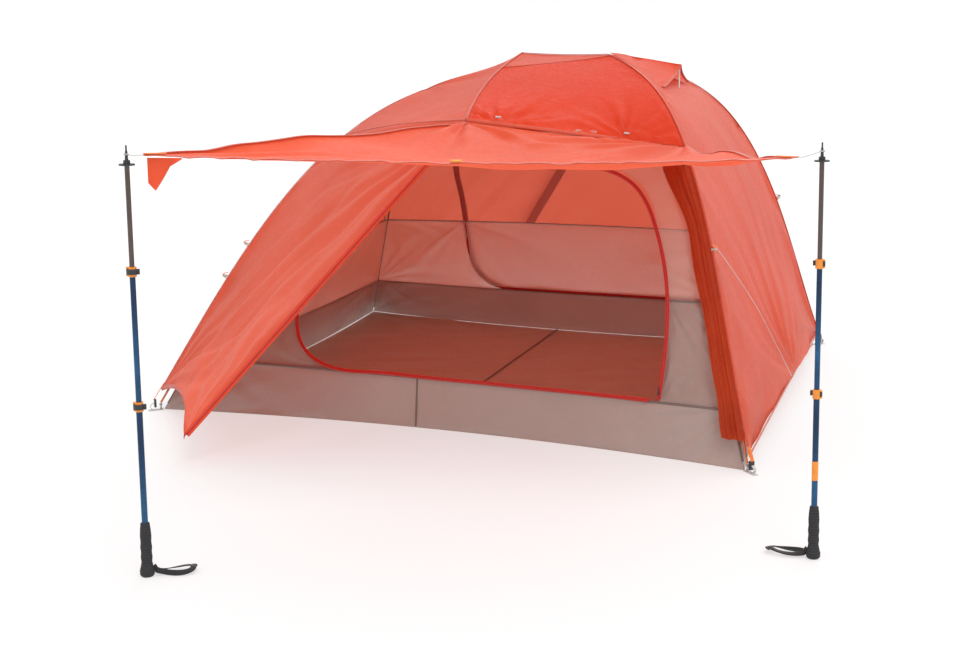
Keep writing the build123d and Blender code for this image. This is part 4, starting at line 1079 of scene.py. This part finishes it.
def build_wrist_straps():
    bands, keepers = [], []
    for side in ("left", "right"):
        foot, turn = POLE_FEET[side], math.radians(STRAP_TURN[side])
        ahead = np.array((math.cos(turn), math.sin(turn), 0))
        across = np.array((-ahead[1], ahead[0], 0))
        a = span(160, 0, 2 * np.pi)
        half_width = (0.021 + 0.006 * np.cos(a))[:, None]
        out = np.cos(a)[:, None] * ahead * 0.053 + np.sin(a)[:, None] * across * half_width
        lift = 0.0095 + 0.0035 * (1 + np.sin(a * 2 + 1))
        centre = foot * (1, 1, 0) + ahead * 0.079 + out + np.stack([0 * a, 0 * a, lift], -1)
        lean = 0.55 + 0.35 * np.sin(a + 0.8)
        up = unit(out) * (1 - lean)[:, None] + np.array((0, 0, 1.0)) * lean[:, None]
        bands.append((centre[:-1], up[:-1], 0.017, 0.0022))
        neck = np.stack([foot * (1, 1, 0) + ahead * d + (0, 0, z) for d, z in
                         ((0.019, 0.030), (0.024, 0.022), (0.029, 0.014), (0.036, 0.010))])
        keepers.append((curve(neck)(span(20)), facing(across, 20), 0.014, 0.003))
        tail_start = foot * (1, 1, 0) + ahead * 0.128 + (0, 0, 0.012)
        tail = curve([tail_start, tail_start + ahead * 0.010 + across * 0.010 + (0, 0, 0.004),
                      tail_start + across * 0.022 + (0, 0, 0.002)])
        keepers.append((tail(span(20)), facing(UP, 20), 0.013, 0.0018))
    strip("wrist_strap_loops", bands, BLACK_WEB, "root", ["wrist_straps"], closed=True)
    strip("wrist_strap_tails", keepers, BLACK_WEB, "root")
    axis = unit(POLE_TOPS["right"] - POLE_FEET["right"])
    side = unit(np.cross(axis, (0, 1.0, 0)))
    a = span(48, 0, 2 * np.pi)[:-1, None]
    outward = np.cos(a) * side + np.sin(a) * np.cross(axis, side)
    ring = POLE_FEET["right"] + axis * 0.275 + outward * 0.0092
    strip("right_shaft_band", [(ring, outward, 0.060, 0.0006)], LOCK_ORANGE, "root",
          closed=True)


# ---------------------------------------------------------------- finishes on the CAD's own nodes
CAD_FINISHES = [
    (TUBE_ORANGE, ("ridge_pole", "cross_pole", "leg_poles")),
    (BLACK, ("foot_hub", "head_hub", "pole_clips", "corner_buckles")),
    (STEEL, ("pole_tips",)),
    (WEBBING, ("corner_straps", "tie_out_tabs", "vent_strut")),
    (LOCK_ORANGE, ("awning_toggle", "low_clamps")),
    (FOAM, ("pole_grips",)),
    (NAVY_TUBE, ("upper_shafts",)),
    (SLIDER,
     [f"{side}_{zip_name}_slider" for zip_name in ("door", "vestibule") for side in ("near", "far")]),
]
POLE_FINISHES = {"middle_shaft": NAVY_TUBE, "high_clamp": LOCK_ORANGE, "lower_shaft": BROWN_TUBE,
                 "tip_and_basket": BLACK, "low_lever": BLACK, "high_lever": BLACK}


def finish_cad_nodes():
    finishes = [(mat, name) for mat, names in CAD_FINISHES for name in names]
    finishes += [(mat, f"{side}_pole_{part}") for side in ("left", "right") for part,
                 mat in POLE_FINISHES.items()]
    for mat, name in finishes:
        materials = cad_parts[name].data.materials
        materials.clear()
        materials.append(mat)


# ---------------------------------------------------------------- stage, light and camera
STUDIO_GLOW, STUDIO_HALF_SIZE = 0.55, 400.0


def sun_light(name, direction, strength, spread_degrees):
    data = bpy.data.lights.new(name, "SUN")
    data.energy, data.angle = strength, math.radians(spread_degrees)
    light = bpy.data.objects.new(name, data)
    light.location = -4.0 * np.array(direction)
    light.rotation_mode = "QUATERNION"
    light.rotation_quaternion = Vector(direction).to_track_quat("-Z", "Y")
    bpy.context.scene.collection.objects.link(light)


def build_stage():
    s = Shading("studio_floor")
    s.surface({"Base Color": s.mix(s.noise(s.place["Object"], 0.6, 3.0), (0.74, 0.74, 0.74),
                                   (0.78, 0.78, 0.78)),
               "Roughness": 0.9})
    s.blend(STUDIO_GLOW, s.node("ShaderNodeEmission"))
    size = STUDIO_HALF_SIZE
    floor = mesh_object("studio_floor",
                        [(-size, -size, 0), (size, -size, 0), (size, size, 0), (-size, size, 0)],
                        [(0, 1, 2, 3)], s.material)
    floor.location.z = -0.0005
    world = bpy.data.worlds.new("studio")
    bpy.context.scene.world = world
    world.use_nodes = True
    background = world.node_tree.nodes["Background"].inputs
    background["Color"].default_value, background["Strength"].default_value = (1.0, 1.0, 1.0, 1), 1.0
    sun_light("key", (-0.45, 0.55, -1.0), 1.05, 30)
    sun_light("fill", (0.8, 0.5, -0.6), 0.28, 60)
    sun_light("back", (-0.25, -0.85, -0.75), 1.05, 70)
    bpy.context.scene.view_settings.view_transform = "Standard"


def build_camera():
    data = bpy.data.cameras.new("camera")
    data.sensor_width, data.lens = 36.0, 51.88
    camera = bpy.data.objects.new("camera", data)
    right = (0.94416, 0.32946, 0.00346)
    up = (-0.07281, 0.19838, 0.97742)
    back = (0.32133, -0.92309, 0.21129)
    place = (1.926, -5.981, 1.588)
    camera.matrix_world = Matrix([(right[i], up[i], back[i], place[i]) for i in range(3)] + [(0, 0, 0, 1)])
    bpy.context.scene.collection.objects.link(camera)
    bpy.context.scene.camera = camera


build_camera()
build_cords()
build_fly()
build_awning()
build_awning_trim()
build_inner()
build_fly_trim()
finish_cad_nodes()
build_stage()
